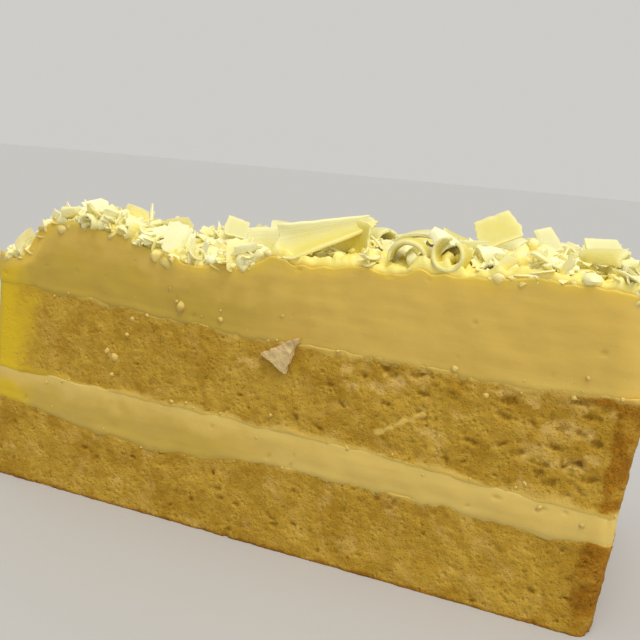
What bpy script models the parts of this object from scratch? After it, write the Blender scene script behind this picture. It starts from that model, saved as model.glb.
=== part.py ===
"""A slice of lemon layer cake: two sponges, two creams and a heap of white chocolate shavings.

The slice stands on its base, with its blunt tip towards -X and the rim of the cake towards +X.
Its front cut face looks towards -Y and its back cut face towards +Y. All sizes are in metres.
A place in the slice is given by its reach, from 0 at the tip to 1 at the rim, and by its turn,
from -1 on the front cut face to 1 on the back one.
"""

import math

import bmesh
import bpy
from mathutils import Euler, Vector, noise

MM = 0.001

# Driving dimensions.
CAKE_RADIUS = 127 * MM
SLICES_IN_CAKE = 12
TIP_ROUND = 2.5 * MM
GAP = 0.3 * MM

# The plan of the slice follows from them.
HALF_TURN = math.pi / SLICES_IN_CAKE
TIP_CENTRE = TIP_ROUND / math.sin(HALF_TURN)
TIP_SETBACK = TIP_CENTRE - TIP_ROUND

# Heights of each surface above the base, at even steps from the tip to the rim, in millimetres.
BASE_SPONGE_TOP = {
    "front": (16.6, 14.3, 13.6, 15.4, 15.5, 15.3, 15.1),
    "back": (16.4, 15.2, 15.6, 15.0, 14.4, 14.8, 15.3),
}
FILLING_TOP = {
    "front": (22.3, 22.0, 21.8, 21.7, 21.2, 20.3, 19.6),
    "back": (22.2, 22.4, 22.0, 21.2, 21.6, 21.2, 20.4),
}
UPPER_SPONGE_TOP = {
    "front": (39.1, 38.7, 37.5, 36.8, 37.1, 36.9, 37.8),
    "back": (39.0, 38.0, 37.4, 37.8, 37.2, 37.0, 37.4),
}
CREAM_TOP = {
    "front": (54.4, 52.5, 47.3, 49.0, 50.7, 52.2, 52.0),
    "back": (54.0, 51.2, 49.0, 49.8, 50.2, 51.0, 51.0),
}

# The top cream slumps at the tip and is rounded over at the rim.
TIP_DROP = 10.5 * MM
TIP_DROP_REACH = 0.13
RIM_DROP = 5.5 * MM
RIM_DROP_REACH = 0.94

# How far the rim of each layer stands out from the cake's radius, at its foot and at its top.
BASE_SPONGE_RIM = (-2.8 * MM, -1.4 * MM)
FILLING_RIM = (-2.6 * MM, -2.6 * MM)
UPPER_SPONGE_RIM = (-2.8 * MM, 0.4 * MM)
CREAM_RIM = (1.0 * MM, 1.0 * MM)
TOP_RADIUS = CAKE_RADIUS + CREAM_RIM[1]

# How much a cream's wall swells, and how much a sponge's wall is rounded at its edges.
CREAM_SWELL = 0.5 * MM
SPONGE_EDGE = 0.5 * MM

# The heap of fine shavings on the top cream.
HEAP_DEPTH = {"front": 2.6 * MM, "back": 1.1 * MM}
HEAP_LUMP = 0.8
LUMP_SPACING = 11 * MM
HEAP_MARGIN = 0.9 * MM
HEAP_REACH = (0.012, 0.990)

# The heap thins to a shelf at the front, where curls stand on the edge of the cream.
SHELF_REACH = (0.46, 0.79)
SHELF_SLOPE = 0.05
SHELF_TURN = -0.15
SHELF_DEPTH = 0.5 * MM

# Faces along, across and up the layers. The heap has those of the cream it lies on.
LAYER_CUTS = (14, 6, 3)
TOP_CUTS = (30, 12, 2)
END_CROWDING = 0.55

# Large shavings: their sheet thickness, and the faces along and around each.
SHEET = 0.9 * MM
SHAVING_CUTS = (4, 12)
CHIP_CUTS = (3, 3)

# How far a rolled sheet opens out across its width, and how much its edges are drawn in.
SPIRAL = 0.30
WAIST = 0.35

# Shavings that show in front: name, reach, turn, then heading, lean and tilt in degrees,
# then length, width, roll and taper, in millimetres, degrees and a share of the width.
# A roll bends the sheet across its width, and a taper narrows it along its length.
FRONT_SHAVINGS = (
    ("shaving_trough", 0.548, -0.70, 20, 62, -20, 18.0, 8.0, 115, 0.65),
    ("shaving_leaf", 0.790, -0.14, 8, 66, -24, 7.4, 6.6, 26, 0.0),
    ("shaving_scroll", 0.733, -0.87, 75, 0, 2, 6.5, 13.5, 325, 0.1),
    ("shaving_hoop", 0.672, -0.88, 82, 180, 0, 5.0, 10.0, 190, 0.0),
    ("shaving_hood", 0.685, -0.38, 165, 176, 4, 13.5, 10.0, 90, 0.0),
    ("shaving_rim_chip", 0.940, -0.05, 30, 54, -14, 6.6, 6.0, 30, 0.2),
    ("shaving_rim_curl", 0.915, -0.72, 150, 172, 6, 7.5, 6.0, 130, 0.3),
    ("shaving_mid_chip", 0.375, 0.30, 15, 62, 12, 5.0, 4.8, 20, 0.1),
    ("shaving_stub", 0.858, 0.12, 15, 74, -16, 4.0, 5.0, 24, 0.0),
)

# Shavings on the far half of the top, laid out by a rule. Their kinds take turns.
BACK_SHAVINGS = 8
BACK_REACH = (0.46, 0.93)
BACK_TURNS = (0.66, 0.16)
BACK_KINDS = ((9.0, 8.0, 125, 0.3), (7.0, 6.4, 28, 0.1), (8.0, 7.6, 165, 0.0))
BACK_HEADING_STEP = 67.0
BACK_SHIFT = 0.13

# A thin flake of cream stuck on the front face, where the top cream meets the sponge.
FLAKE_REACH = 0.505
FLAKE_HEIGHT = 35.4 * MM
FLAKE_CORNERS = ((-3.7, 2.2), (3.6, 3.9), (3.0, 1.2), (0.6, -4.0), (-0.6, -3.2))
FLAKE_THICKNESS = 1.2 * MM
FLAKE_ROUNDING = 0.3 * MM

# Colour, then roughness, of each finish.
FINISHES = {
    "base_sponge": ((0.42, 0.30, 0.10), 0.9),
    "cream_filling": ((0.80, 0.62, 0.23), 0.45),
    "upper_sponge": ((0.50, 0.33, 0.10), 0.9),
    "top_cream": ((0.78, 0.60, 0.20), 0.45),
    "fine_shavings": ((0.90, 0.84, 0.50), 0.6),
    "shaving": ((0.90, 0.82, 0.38), 0.45),
    "flake": ((0.74, 0.58, 0.36), 0.6),
}


def clear_scene():
    for item in list(bpy.data.objects):
        bpy.data.objects.remove(item, do_unlink=True)


def finish(name):
    """The Principled material of one finish."""
    material = bpy.data.materials.get(name)
    if material is None:
        colour, roughness = FINISHES[name]
        material = bpy.data.materials.new(name)
        material.use_nodes = True
        shader = material.node_tree.nodes["Principled BSDF"]
        shader.inputs["Base Color"].default_value = (*colour, 1.0)
        shader.inputs["Roughness"].default_value = roughness
        shader.inputs["Metallic"].default_value = 0.0
    return material


def add_object(collection, name, data, material):
    """An object in the collection, with its data in one finish."""
    data.materials.append(finish(material))
    made = bpy.data.objects.new(name, data)
    collection.objects.link(made)
    return made


def add_mesh(collection, name, bm, material):
    """An object from a bmesh, with its faces turned outwards and shaded smooth."""
    bmesh.ops.recalc_face_normals(bm, faces=bm.faces)
    mesh = bpy.data.meshes.new(name)
    bm.to_mesh(mesh)
    bm.free()
    mesh.shade_smooth()
    mesh.set_sharp_from_angle(angle=math.radians(50))
    return add_object(collection, name, mesh, material)


def blend(low, high, share):
    return low + (high - low) * share


def ease(share):
    """From 0 to 1 along a smooth step."""
    share = min(max(share, 0.0), 1.0)
    return share * share * (3 - 2 * share)


def through(stations, reach):
    """The value at a reach on a Catmull-Rom curve through evenly spaced stations."""
    last = len(stations) - 1
    place = min(max(reach, 0.0), 1.0) * last
    at = min(int(place), last - 1)
    share = place - at
    before, start = stations[max(at - 1, 0)], stations[at]
    end, after = stations[at + 1], stations[min(at + 2, last)]
    slope = end - before
    bend = 2 * before - 5 * start + 4 * end - after
    twist = 3 * (start - end) + after - before
    return start + 0.5 * share * (slope + share * (bend + share * twist))


def surface(stations):
    """The height of a layer's surface as a function of reach and turn."""

    def height(reach, turn):
        front = through(stations["front"], reach)
        back = through(stations["back"], reach)
        return MM * blend(front, back, (turn + 1) / 2)

    return height


def plate(reach, turn):
    """The flat base of the slice."""
    return 0.0


def above(height, gap=GAP):
    """A surface a gap above another."""

    def lifted(reach, turn):
        return height(reach, turn) + gap

    return lifted


def cream_top(reach, turn):
    """The top of the upper cream: it slumps at the tip and rounds over at the rim."""
    at_tip = TIP_DROP * (1 - ease(reach / TIP_DROP_REACH))
    past = min(max((reach - RIM_DROP_REACH) / (1 - RIM_DROP_REACH), 0.0), 1.0)
    at_rim = RIM_DROP * (1 - math.sqrt(1 - past * past))
    return surface(CREAM_TOP)(reach, turn) - at_tip - at_rim


def heap_top(reach, turn):
    """The lumpy top of the heap of shavings."""
    depth = blend(HEAP_DEPTH["front"], HEAP_DEPTH["back"], (turn + 1) / 2)
    depth *= 1 + HEAP_LUMP * noise.noise(plan_point(reach, turn) / LUMP_SPACING)
    from_ends = min(reach - SHELF_REACH[0], SHELF_REACH[1] - reach)
    shelf = ease(from_ends / SHELF_SLOPE) * ease((SHELF_TURN - turn) / 0.25)
    return cream_top(reach, turn) + blend(depth, SHELF_DEPTH, shelf)


def plan_point(reach, turn, radius=TOP_RADIUS):
    """The point on the plan at a reach and turn, measured from the centre of the cake."""
    angle = HALF_TURN * turn
    across = TIP_CENTRE * math.sin(angle)
    start = TIP_CENTRE * math.cos(angle) - math.sqrt(max(TIP_ROUND**2 - across**2, 0.0))
    distance = blend(start, radius, reach)
    return Vector((distance * math.cos(angle), distance * math.sin(angle), 0.0))


def wall_normal(reach, turn):
    """The way out of the slice at a point on its outline, and no way at all inside it."""
    way = Vector((0.0, 0.0, 0.0))
    if abs(turn) > 0.999:
        side = math.copysign(1.0, turn)
        way += Vector((-math.sin(HALF_TURN), side * math.cos(HALF_TURN), 0.0))
    if reach > 0.999:
        way += plan_point(1.0, turn).normalized()
    if reach < 0.001 and abs(turn) < 0.999:
        way += (plan_point(0.0, turn) - Vector((TIP_CENTRE, 0.0, 0.0))).normalized()
    return way


def block(cuts):
    """A box from 0 to 1 on each axis, with its faces cut up along each axis."""
    bm = bmesh.new()
    bmesh.ops.create_cube(bm, size=1.0)
    for axis, number in enumerate(cuts):
        along = [
            edge
            for edge in bm.edges
            if abs((edge.verts[0].co - edge.verts[1].co).normalized()[axis]) > 0.9
        ]
        bmesh.ops.subdivide_edges(bm, edges=along, cuts=number - 1, use_grid_fill=True)
    bmesh.ops.translate(bm, verts=bm.verts, vec=(0.5, 0.5, 0.5))
    return bm


def crowd(share):
    """A share of the way along, with the steps closer together at both ends."""
    return blend(share, (1 - math.cos(math.pi * share)) / 2, END_CROWDING)


def cream_swell(share):
    """How far a cream's wall stands out, at a share of the way up it."""
    return CREAM_SWELL * (1 - (2 * share - 1) ** 2)


def sponge_edge(share):
    """How far a sponge's wall stands in at its top and bottom edges."""
    return -SPONGE_EDGE * (2 * share - 1) ** 4


def wedge(collection, name, cuts, low, high, rim, wall):
    """A closed layer of the slice between the surfaces low and high."""
    bm = block(cuts)
    for vert in bm.verts:
        reach, turn, share = crowd(vert.co.x), 2 * vert.co.y - 1, vert.co.z
        spot = plan_point(reach, turn, CAKE_RADIUS + blend(*rim, share))
        spot += wall(share) * wall_normal(reach, turn)
        spot.z = blend(low(reach, turn), high(reach, turn), share)
        vert.co = spot
    return add_mesh(collection, name, bm, name)


def heap(collection):
    """The heap of fine shavings, out to its uneven outline, set in a little from the cut faces."""
    bm = block(TOP_CUTS)
    floor = above(cream_top)
    for vert in bm.verts:
        reach = min(max(crowd(vert.co.x), HEAP_REACH[0]), HEAP_REACH[1])
        turn, share = 2 * vert.co.y - 1, vert.co.z
        spot = plan_point(reach, turn)
        if abs(turn) > 0.999:
            ragged = HEAP_MARGIN * (1 + noise.noise(spot * 0.7 / MM))
            spot.y -= turn * min(ragged, 0.6 * abs(spot.y))
        spot.z = blend(floor(reach, turn), heap_top(reach, turn) + GAP, share)
        vert.co = spot
    return add_mesh(collection, "shaving_heap", bm, "fine_shavings")


def settle(shaving, reach, turn, turned):
    """Turns a shaving and sets it down on the heap, a gap above the highest point under it."""
    place = plan_point(reach, turn)
    matrix = turned.to_matrix()
    lift = 0.0
    for vert in shaving.data.vertices:
        point = place + matrix @ vert.co
        half_sheet = SHEET / 2 * abs((matrix @ vert.normal).z)
        lift = max(lift, heap_height(point) + 1.5 * GAP + half_sheet - point.z)
    shaving.rotation_euler = turned
    shaving.location = place + Vector((0.0, 0.0, lift))


def heap_height(point):
    """The height of the heap at a point on the plan."""
    distance = math.hypot(point.x, point.y)
    turn = math.atan2(point.y, point.x) / HALF_TURN
    reach = (distance - TIP_SETBACK) / (TOP_RADIUS - TIP_SETBACK)
    return heap_top(min(max(reach, 0.0), 1.0), min(max(turn, -1.0), 1.0)) + GAP


def add_shaving(collection, name, reach, turn, turns, length, width, roll, taper):
    """A sheet scraped off a block, bent round across its width through the angle roll."""
    length, width, bend = length * MM, width * MM, math.radians(roll)
    cuts = CHIP_CUTS if roll < 60 else SHAVING_CUTS
    bm = bmesh.new()
    bmesh.ops.create_grid(bm, x_segments=cuts[0], y_segments=cuts[1], size=0.5)
    for vert in bm.verts:
        along, across = vert.co.x, vert.co.y
        radius = width / bend * (1 - taper * (along + 0.5))
        opened = radius * (1 + SPIRAL * across)
        angle = across * bend
        vert.co.x = length * along * (1 - WAIST * abs(across))
        vert.co.y = opened * math.sin(angle)
        vert.co.z = radius - opened * math.cos(angle)
    shaving = add_mesh(collection, name, bm, "shaving")
    shell = shaving.modifiers.new("sheet", "SOLIDIFY")
    shell.thickness = SHEET
    shell.offset = 0.0
    heading, lean, tilt = (math.radians(part) for part in turns)
    settle(shaving, reach, turn, Euler((lean, tilt, heading), "XYZ"))
    return shaving


def add_front_shavings(collection):
    """The large shavings that show in front."""
    return [
        add_shaving(collection, name, reach, turn, turns, length, width, roll, taper)
        for name, reach, turn, *turns, length, width, roll, taper in FRONT_SHAVINGS
    ]


def add_back_shavings(collection):
    """Two staggered rows of large shavings on the far half of the top."""
    made = []
    for number in range(BACK_SHAVINGS):
        reach = blend(*BACK_REACH, number / (BACK_SHAVINGS - 1))
        turn = BACK_TURNS[number % 2] + BACK_SHIFT * math.sin(3.0 * number)
        kind = BACK_KINDS[number % len(BACK_KINDS)]
        lean = 14 if kind[2] < 60 else 180
        turns = (BACK_HEADING_STEP * number, lean, 6)
        name = f"shaving_back_{number + 1:02d}"
        made.append(add_shaving(collection, name, reach, turn, turns, *kind))
    return made


def add_flake(collection):
    """A flat flake on the front cut face."""
    outline = bpy.data.curves.new("face_flake", "CURVE")
    outline.dimensions = "2D"
    outline.fill_mode = "BOTH"
    outline.extrude = FLAKE_THICKNESS / 2 - FLAKE_ROUNDING
    outline.bevel_depth = FLAKE_ROUNDING
    outline.bevel_resolution = 1
    outline.offset = -FLAKE_ROUNDING
    spline = outline.splines.new("POLY")
    spline.points.add(len(FLAKE_CORNERS) - 1)
    for point, (across, up) in zip(spline.points, FLAKE_CORNERS):
        point.co = (across * MM, up * MM, 0.0, 1.0)
    spline.use_cyclic_u = True
    flake = add_object(collection, "face_flake", outline, "flake")
    spot = plan_point(FLAKE_REACH, -1.0)
    spot += (FLAKE_THICKNESS / 2 + CREAM_SWELL + GAP) * wall_normal(FLAKE_REACH, -1.0)
    spot.z = FLAKE_HEIGHT
    flake.location = spot
    flake.rotation_euler = (math.pi / 2, 0.0, -HALF_TURN)
    return flake


def centre_on_base(parts):
    """Moves every part so that the origin is at the middle of the slice's base."""
    farthest = TOP_RADIUS + CREAM_SWELL
    nearest = TIP_SETBACK - CREAM_SWELL
    for part in parts:
        part.location.x -= (nearest + farthest) / 2


def main():
    clear_scene()
    collection = bpy.data.collections.new("lemon_cake_slice")
    bpy.context.scene.collection.children.link(collection)
    base_top = surface(BASE_SPONGE_TOP)
    filling_top = surface(FILLING_TOP)
    sponge_top = surface(UPPER_SPONGE_TOP)
    over_base, over_filling, over_sponge = above(base_top), above(filling_top), above(sponge_top)
    layers = (
        ("base_sponge", LAYER_CUTS, plate, base_top, BASE_SPONGE_RIM, sponge_edge),
        ("cream_filling", LAYER_CUTS, over_base, filling_top, FILLING_RIM, cream_swell),
        ("upper_sponge", LAYER_CUTS, over_filling, sponge_top, UPPER_SPONGE_RIM, sponge_edge),
        ("top_cream", TOP_CUTS, over_sponge, cream_top, CREAM_RIM, cream_swell),
    )
    parts = [wedge(collection, *layer) for layer in layers]
    parts.append(heap(collection))
    parts += add_front_shavings(collection)
    parts += add_back_shavings(collection)
    parts.append(add_flake(collection))
    centre_on_base(parts)


main()
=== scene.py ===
"""The looks of a slice of lemon layer cake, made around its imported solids.

The slice stands on its base with its blunt tip towards -X and the rim of the cake towards +X. A
place in it is given by its reach, from 0 at the tip to 1 at the rim, and by its turn, from -1 on
the front cut face to 1 on the back one. A place round its outline is given by a lap, from 0 to 1:
along the front face, round the rim, back along the back face and round the tip. Sizes are in
metres, but for those said to be in millimetres, and colours are linear.
"""

import math
import random

import bmesh
import bpy
from bpy.props import FloatProperty, FloatVectorProperty, IntProperty, PointerProperty
from mathutils import Euler, Matrix, Vector, noise


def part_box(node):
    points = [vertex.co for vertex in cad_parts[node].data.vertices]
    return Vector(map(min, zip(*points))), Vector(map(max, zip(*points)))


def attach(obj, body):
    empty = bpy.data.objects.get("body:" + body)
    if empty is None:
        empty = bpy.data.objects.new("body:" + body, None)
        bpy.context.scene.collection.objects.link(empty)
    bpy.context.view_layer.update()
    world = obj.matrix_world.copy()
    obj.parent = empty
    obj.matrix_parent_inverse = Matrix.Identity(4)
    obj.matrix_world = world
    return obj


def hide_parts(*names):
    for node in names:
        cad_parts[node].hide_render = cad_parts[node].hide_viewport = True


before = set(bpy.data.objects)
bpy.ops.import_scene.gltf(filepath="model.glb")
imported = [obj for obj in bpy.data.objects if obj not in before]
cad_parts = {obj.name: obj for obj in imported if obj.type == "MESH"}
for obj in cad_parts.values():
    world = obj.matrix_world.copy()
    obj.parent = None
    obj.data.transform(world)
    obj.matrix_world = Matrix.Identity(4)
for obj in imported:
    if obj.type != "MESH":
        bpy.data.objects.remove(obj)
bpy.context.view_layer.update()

bl_info = {
    "name": "Lemon layer cake slice",
    "version": (1, 0, 0),
    "blender": (4, 5, 0),
    "location": "View3D > Sidebar > Cake",
    "description": "Dresses a slice of lemon layer cake: sponge, cream and white chocolate",
    "category": "Object",
}

MM = 0.001

# Without a seed, Blender's vector noise takes its offsets from the clock.
NOISE_SEED = 7

# The plan of the slice, as its solids have it.
CAKE_RADIUS = 127 * MM
TOP_RADIUS = 128 * MM
HALF_TURN = math.radians(15)
TIP_ROUND = 2.5 * MM
TIP_CENTRE = TIP_ROUND / math.sin(HALF_TURN)
TIP_SETBACK = TIP_CENTRE - TIP_ROUND
CAKE_CENTRE = Vector((-(TIP_SETBACK + TOP_RADIUS) / 2, 0.0, 0.0))

# The outline: the front face, the rim, the back face and the round of the tip.
FACE_LENGTH = TOP_RADIUS - TIP_SETBACK
RIM_LENGTH = 2 * HALF_TURN * TOP_RADIUS
TIP_SWEEP = math.pi / 2 - HALF_TURN
TIP_LENGTH = 2 * TIP_SWEEP * TIP_ROUND
GIRTH = 2 * FACE_LENGTH + RIM_LENGTH + TIP_LENGTH

# Heights of each surface above the base, at even steps from the tip to the rim, in millimetres.
BASE_SPONGE_TOP = {
    "front": (16.6, 14.3, 13.6, 15.4, 15.5, 15.3, 15.1),
    "back": (16.4, 15.2, 15.6, 15.0, 14.4, 14.8, 15.3),
}
FILLING_TOP = {
    "front": (22.3, 22.0, 21.8, 21.7, 21.2, 20.3, 19.6),
    "back": (22.2, 22.4, 22.0, 21.2, 21.6, 21.2, 20.4),
}
UPPER_SPONGE_TOP = {
    "front": (39.1, 38.7, 37.5, 36.8, 37.1, 36.9, 37.8),
    "back": (39.0, 38.0, 37.4, 37.8, 37.2, 37.0, 37.4),
}
CREAM_TOP = {
    "front": (54.4, 52.5, 47.3, 49.0, 50.7, 52.2, 52.0),
    "back": (54.0, 51.2, 49.0, 49.8, 50.2, 51.0, 51.0),
}

# The upper cream falls away at the tip, with a dip just behind it, and is rounded over at the rim.
TIP_DROP = 10.5 * MM
TIP_DROP_REACH = 0.13
TIP_SLUMP = 2.6 * MM
TIP_SLUMP_REACH = 0.052
TIP_SLUMP_WIDTH = 0.03
RIM_DROP = 5.5 * MM
RIM_DROP_REACH = 0.94

# How far the rim of each layer stands out from the cake's radius, at its foot and at its top.
BASE_SPONGE_RIM = (-2.8 * MM, -1.4 * MM)
FILLING_RIM = (-1.7 * MM, -1.7 * MM)
UPPER_SPONGE_RIM = (-1.5 * MM, 0.5 * MM)
CREAM_RIM = (1.0 * MM, 1.0 * MM)

# Where two layers meet, the foot of the upper one tucks in behind the wall of the lower one, and
# the line between them wavers.
OVERLAP = 1.2 * MM
TUCK = 0.32 * MM
FOOT_PROUD = 0.10 * MM
WAVER = 0.45 * MM

# The heap of fine shavings: its depth, its lumps, and the shelf at the front where curls stand.
HEAP_DEPTH = {"front": 2.6 * MM, "back": 1.1 * MM}
HEAP_LUMP = 0.8
LUMP_SPACING = 11 * MM
HEAP_MARGIN = 0.5 * MM
HEAP_REACH = (0.012, 0.990)
SHELF_REACH = (0.46, 0.79)
SHELF_SLOPE = 0.05
SHELF_TURN = -0.15
SHELF_TURN_SLOPE = 0.25
SHELF_DEPTH = 0.5 * MM
SHELF_FILL = 1.3 * MM

# Faces round and in from the walls of a layer, and those of the core of the heap. The rings of
# faces close in on a spine along the middle of the slice, which ends this far from the origin.
LAPS = 1040
RINGS = 9
RING_STEP = 1 / (RINGS + 0.2)
RING_CROWDING = 1.7
SPINE_END = 40 * MM
HEAP_CUTS = (270, 126, 2)

# Cream that the knife dragged up over the shavings at the cut faces, less so at the back and in a
# dip near the tip.
LIP_HEIGHT = 1.6 * MM
LIP_WIDTH = 1.8 * MM
LIP_DIP_REACH = 0.14
LIP_DIP_WIDTH = 0.06
LIP_DIP_DEPTH = 1.2
BACK_LIP = 0.25

# Where cream coats the shavings: wholly to none at all between two heights over the cream's top,
# and between two distances in from its edges, in mm.
COAT_HEIGHTS = (-0.8, 1.2)
COAT_INSETS = (0.8, 3.3)

# How much of the heap's depth its core takes up. Loose shavings make up the rest. The core starts
# inside the cream, and its relief has coarse lumps, fine lumps and grain, in mm.
CORE_SHARE = 0.5
CORE_FOOT = 0.8 * MM
CORE_THINNEST = 0.4 * MM
CORE_RELIEF = (1.9, 0.7, 0.25)

# The corners at the rim are rounded off over this distance, in the upper cream and under it.
TOP_CREAM_CORNER = 6.0 * MM
LOWER_CORNER = 2.6 * MM

# Large shavings: heading, lean and tilt in degrees, length and width in millimetres, then roll
# in degrees, taper, and how deep their colour is, from 0 to 1. A roll bends the sheet across its
# width, a taper narrows it lengthwise.
SHAVINGS = {
    "shaving_trough": (20, 62, -20, 18.0, 8.0, 115, 0.65, 0.5),
    "shaving_leaf": (8, 66, -25, 7.8, 6.6, 26, 0.0, 0.5),
    # The deep colour of the scroll and the hoop is painted shade, the warm yellow inside their rolls.
    "shaving_scroll": (75, 0, 2, 6.5, 13.5, 325, 0.1, 1.0),
    "shaving_hoop": (82, 180, 0, 5.0, 10.0, 190, 0.0, 1.0),
    "shaving_hood": (80, 192, 0, 11.0, 17.0, 120, 0.0, 0.1),
    "shaving_rim_chip": (24, 62, -4, 7.6, 6.6, 30, 0.1, 0.1),
    "shaving_rim_curl": (150, 172, 6, 7.5, 6.0, 130, 0.3, 0.3),
    "shaving_mid_chip": (15, 66, 12, 5.0, 5.6, 20, 0.1, 0.2),
    "shaving_stub": (15, 74, -16, 4.0, 5.0, 24, 0.0, 0.0),
}

# Painted shade: how much deeper the colour of a rolled shaving is at one side than at the other.
SHADE_DRIFT = 0.9

# How far some of them stand towards the rim from the middle of their solid, and up, in mm.
NUDGES = {
    "shaving_leaf": (-1.8, 0.0),
    "shaving_stub": (-0.8, 0.3),
    "shaving_rim_chip": (-0.7, 0.2),
    "shaving_scroll": (0.0, -1.0),
    "shaving_hood": (0.0, -1.0),
}

# The shavings on the far half: their kinds take turns, given from the length on, and each heads
# another way.
BACK_SHAVINGS = 8
BACK_KINDS = ((9.0, 8.0, 125, 0.3, 0.3), (7.0, 6.4, 28, 0.1, 0.6), (8.0, 7.6, 165, 0.0, 0.1))
BACK_HEADING_STEP = 67
BACK_CHIP_LEAN = 14
BACK_TILT = 6

# A shaving that is rolled by less is a chip. Chips are less ragged, and don't lie arch up.
CHIP_ROLL = 60
CHIP_RAGGEDNESS = 0.04
CURL_RAGGEDNESS = 0.08

# How far a rolled sheet opens out across its width, how much its edges are drawn in, and how much
# thinner it is at its rims.
SPIRAL = 0.30
WAIST = 0.35
RIM_THINNING = 0.6

# Painted highlight: how much the paler colour of its rims shows on a shaving.
FINE_HIGHLIGHT_SHARE = 0.4
LARGE_HIGHLIGHT_SHARE = 0.5

# Faces along, across and through the sheet of a shaving.
LARGE_CUTS = (24, 44, 2)
CURL_CUTS = (4, 8, 1)
FINE_CUTS = (3, 5, 1)

# The turns between which loose shavings are strewn. They lie lower towards the tip, in mm.
WHOLE = (-0.97, 0.97)
INNER = (-0.9, 0.9)
TIP_SINK = 2
TIP_SINK_REACH = 0.28

# Painted shade: how much deeper the colour of loose shavings is where they lie low or in a hollow.
# Painted highlight: how much paler it is where they stand up, from one height over the core to the
# other, in mm.
LOW_SHADE = 0.35
HOLLOW_SHADE = 0.7
TOP_HIGHLIGHT = 0.6
TOP_HIGHLIGHT_HEIGHTS = (1.0, 4.0)

# How far a loose shaving may stand out from a cut face and hang down over it.
OVERHANG = 0.9 * MM

# Stretches of the front edge left clear before the large shavings: from reach to reach, and as far
# in as a turn.
CLEARINGS = ((0.455, 0.615, -0.70), (0.640, 0.775, -0.80), (0.895, 0.940, -0.80))

# Hollows between the shavings, where a deeper yellow is painted as shade: reach and turn, and width in
# mm.
HOLLOWS = (
    (0.585, -0.62, 4.0),
    (0.660, -0.85, 3.0),
    (0.722, -0.85, 4.0),
    (0.842, -0.70, 4.0),
    (0.921, -0.75, 4.0),
)

# Large shavings next to the trough that no solid stands for: reach, turn and height over the core
# in mm, then the same as for the others.
PROPPED_SHAVINGS = {
    "trough_back": (0.580, -0.62, -0.6, (78, 0, -90, 7.0, 7.5, 100, 0.0, 0.9)),
    "trough_side": (0.464, -0.72, -0.8, (20, 62, -6, 8.5, 7.0, 60, 0.0, 0.5)),
}

PROPPED_SEED = 11

# Single lumps along the front edge: reach, distance in from the face and height over the cream in
# mm, size in mm, and how deep their colour is.
PLACED_LUMPS = (
    (0.627, 1.4, -0.9, 2.9, 0.3),
    (0.680, 1.4, 1.0, 2.9, 0.3),
    (0.912, 1.2, 0.1, 3.2, 0.3),
    (0.456, 1.0, 0.9, 2.5, 0.3),
    (0.472, 1.0, 0.3, 2.5, 0.3),
    (0.486, 0.8, -0.8, 2.3, 0.3),
    # The deep-coloured lumps below fill the insides of curls, and their colour is painted shade.
    (0.662, 3.4, 0.2, 3.0, 0.9),
    (0.690, 3.6, 0.2, 3.2, 0.8),
    (0.722, 3.4, 0.4, 3.4, 1.0),
    (0.738, 4.2, 0.8, 3.2, 0.9),
    (0.800, 22.0, 2.6, 3.0, 0.9),
    (0.815, 24.0, 2.4, 2.6, 0.8),
    (0.735, 5.5, 2.4, 2.8, 1.0),
    (0.540, 2.4, 0.3, 2.0, 0.5),
    (0.556, 2.6, 0.5, 2.2, 0.5),
    (0.572, 2.8, 0.7, 2.4, 0.6),
)

# The flake on the front face: its reach and height in mm, and its outline across and up in mm.
FLAKE_PLACE = (0.508, 34.8)
FLAKE_THICKNESS = 1.0 * MM
FLAKE_CORNERS = (
    (-3.4, -0.4),
    (-1.1, 1.0),
    (0.9, 2.2),
    (3.3, 3.3),
    (2.4, 1.4),
    (1.8, -0.6),
    (1.2, -3.2),
    (-0.2, -2.3),
    (-2.0, -1.4),
)

# Holes in the front face of the upper sponge: reach, height, half length and half height in mm.
FRONT_HOLES = (
    (0.668, 35.8, 2.2, 1.0),
    (0.637, 33.6, 1.2, 0.7),
    (0.836, 34.0, 1.9, 1.1),
    (0.837, 27.1, 1.1, 0.7),
    (0.802, 26.5, 1.4, 0.6),
    (0.894, 23.8, 1.2, 0.9),
    (0.922, 35.8, 1.7, 0.8),
    (0.909, 28.3, 1.6, 0.6),
    (0.955, 29.9, 1.0, 1.1),
    (0.939, 26.4, 0.7, 0.5),
    (0.677, 29.7, 0.9, 0.5),
    (0.726, 32.5, 1.3, 0.5),
    (0.592, 31.1, 1.0, 0.5),
    (0.939, 33.7, 1.3, 0.8),
    (0.956, 24.4, 1.8, 0.7),
)

# Pale patches of crumb on the same face, given in the same way.
FRONT_PALES = (
    (0.684, 33.7, 2.6, 1.6),
    (0.660, 32.2, 2.4, 1.3),
    (0.625, 31.6, 2.2, 1.1),
    (0.612, 34.1, 1.5, 1.1),
    (0.822, 35.0, 2.2, 0.8),
    (0.866, 34.7, 2.0, 1.0),
    (0.918, 31.6, 2.8, 2.0),
    (0.898, 31.2, 2.2, 1.6),
    (0.938, 31.3, 2.0, 1.5),
    (0.936, 26.3, 2.6, 1.5),
    (0.910, 26.1, 2.0, 1.2),
    (0.954, 27.7, 1.5, 1.4),
    (0.967, 34.7, 1.4, 0.9),
    (0.460, 32.5, 2.8, 1.2),
    (0.745, 26.5, 3.0, 1.2),
)

# Smears of cream on the front face: from reach and height to reach and height, half width in mm.
FRONT_SMEARS = (
    (0.671, 24.8, 0.729, 29.3, 0.7),
    (0.794, 36.9, 0.815, 36.5, 0.5),
    (0.827, 36.4, 0.848, 36.3, 0.5),
    (0.214, 28.9, 0.232, 27.8, 0.6),
)

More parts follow.
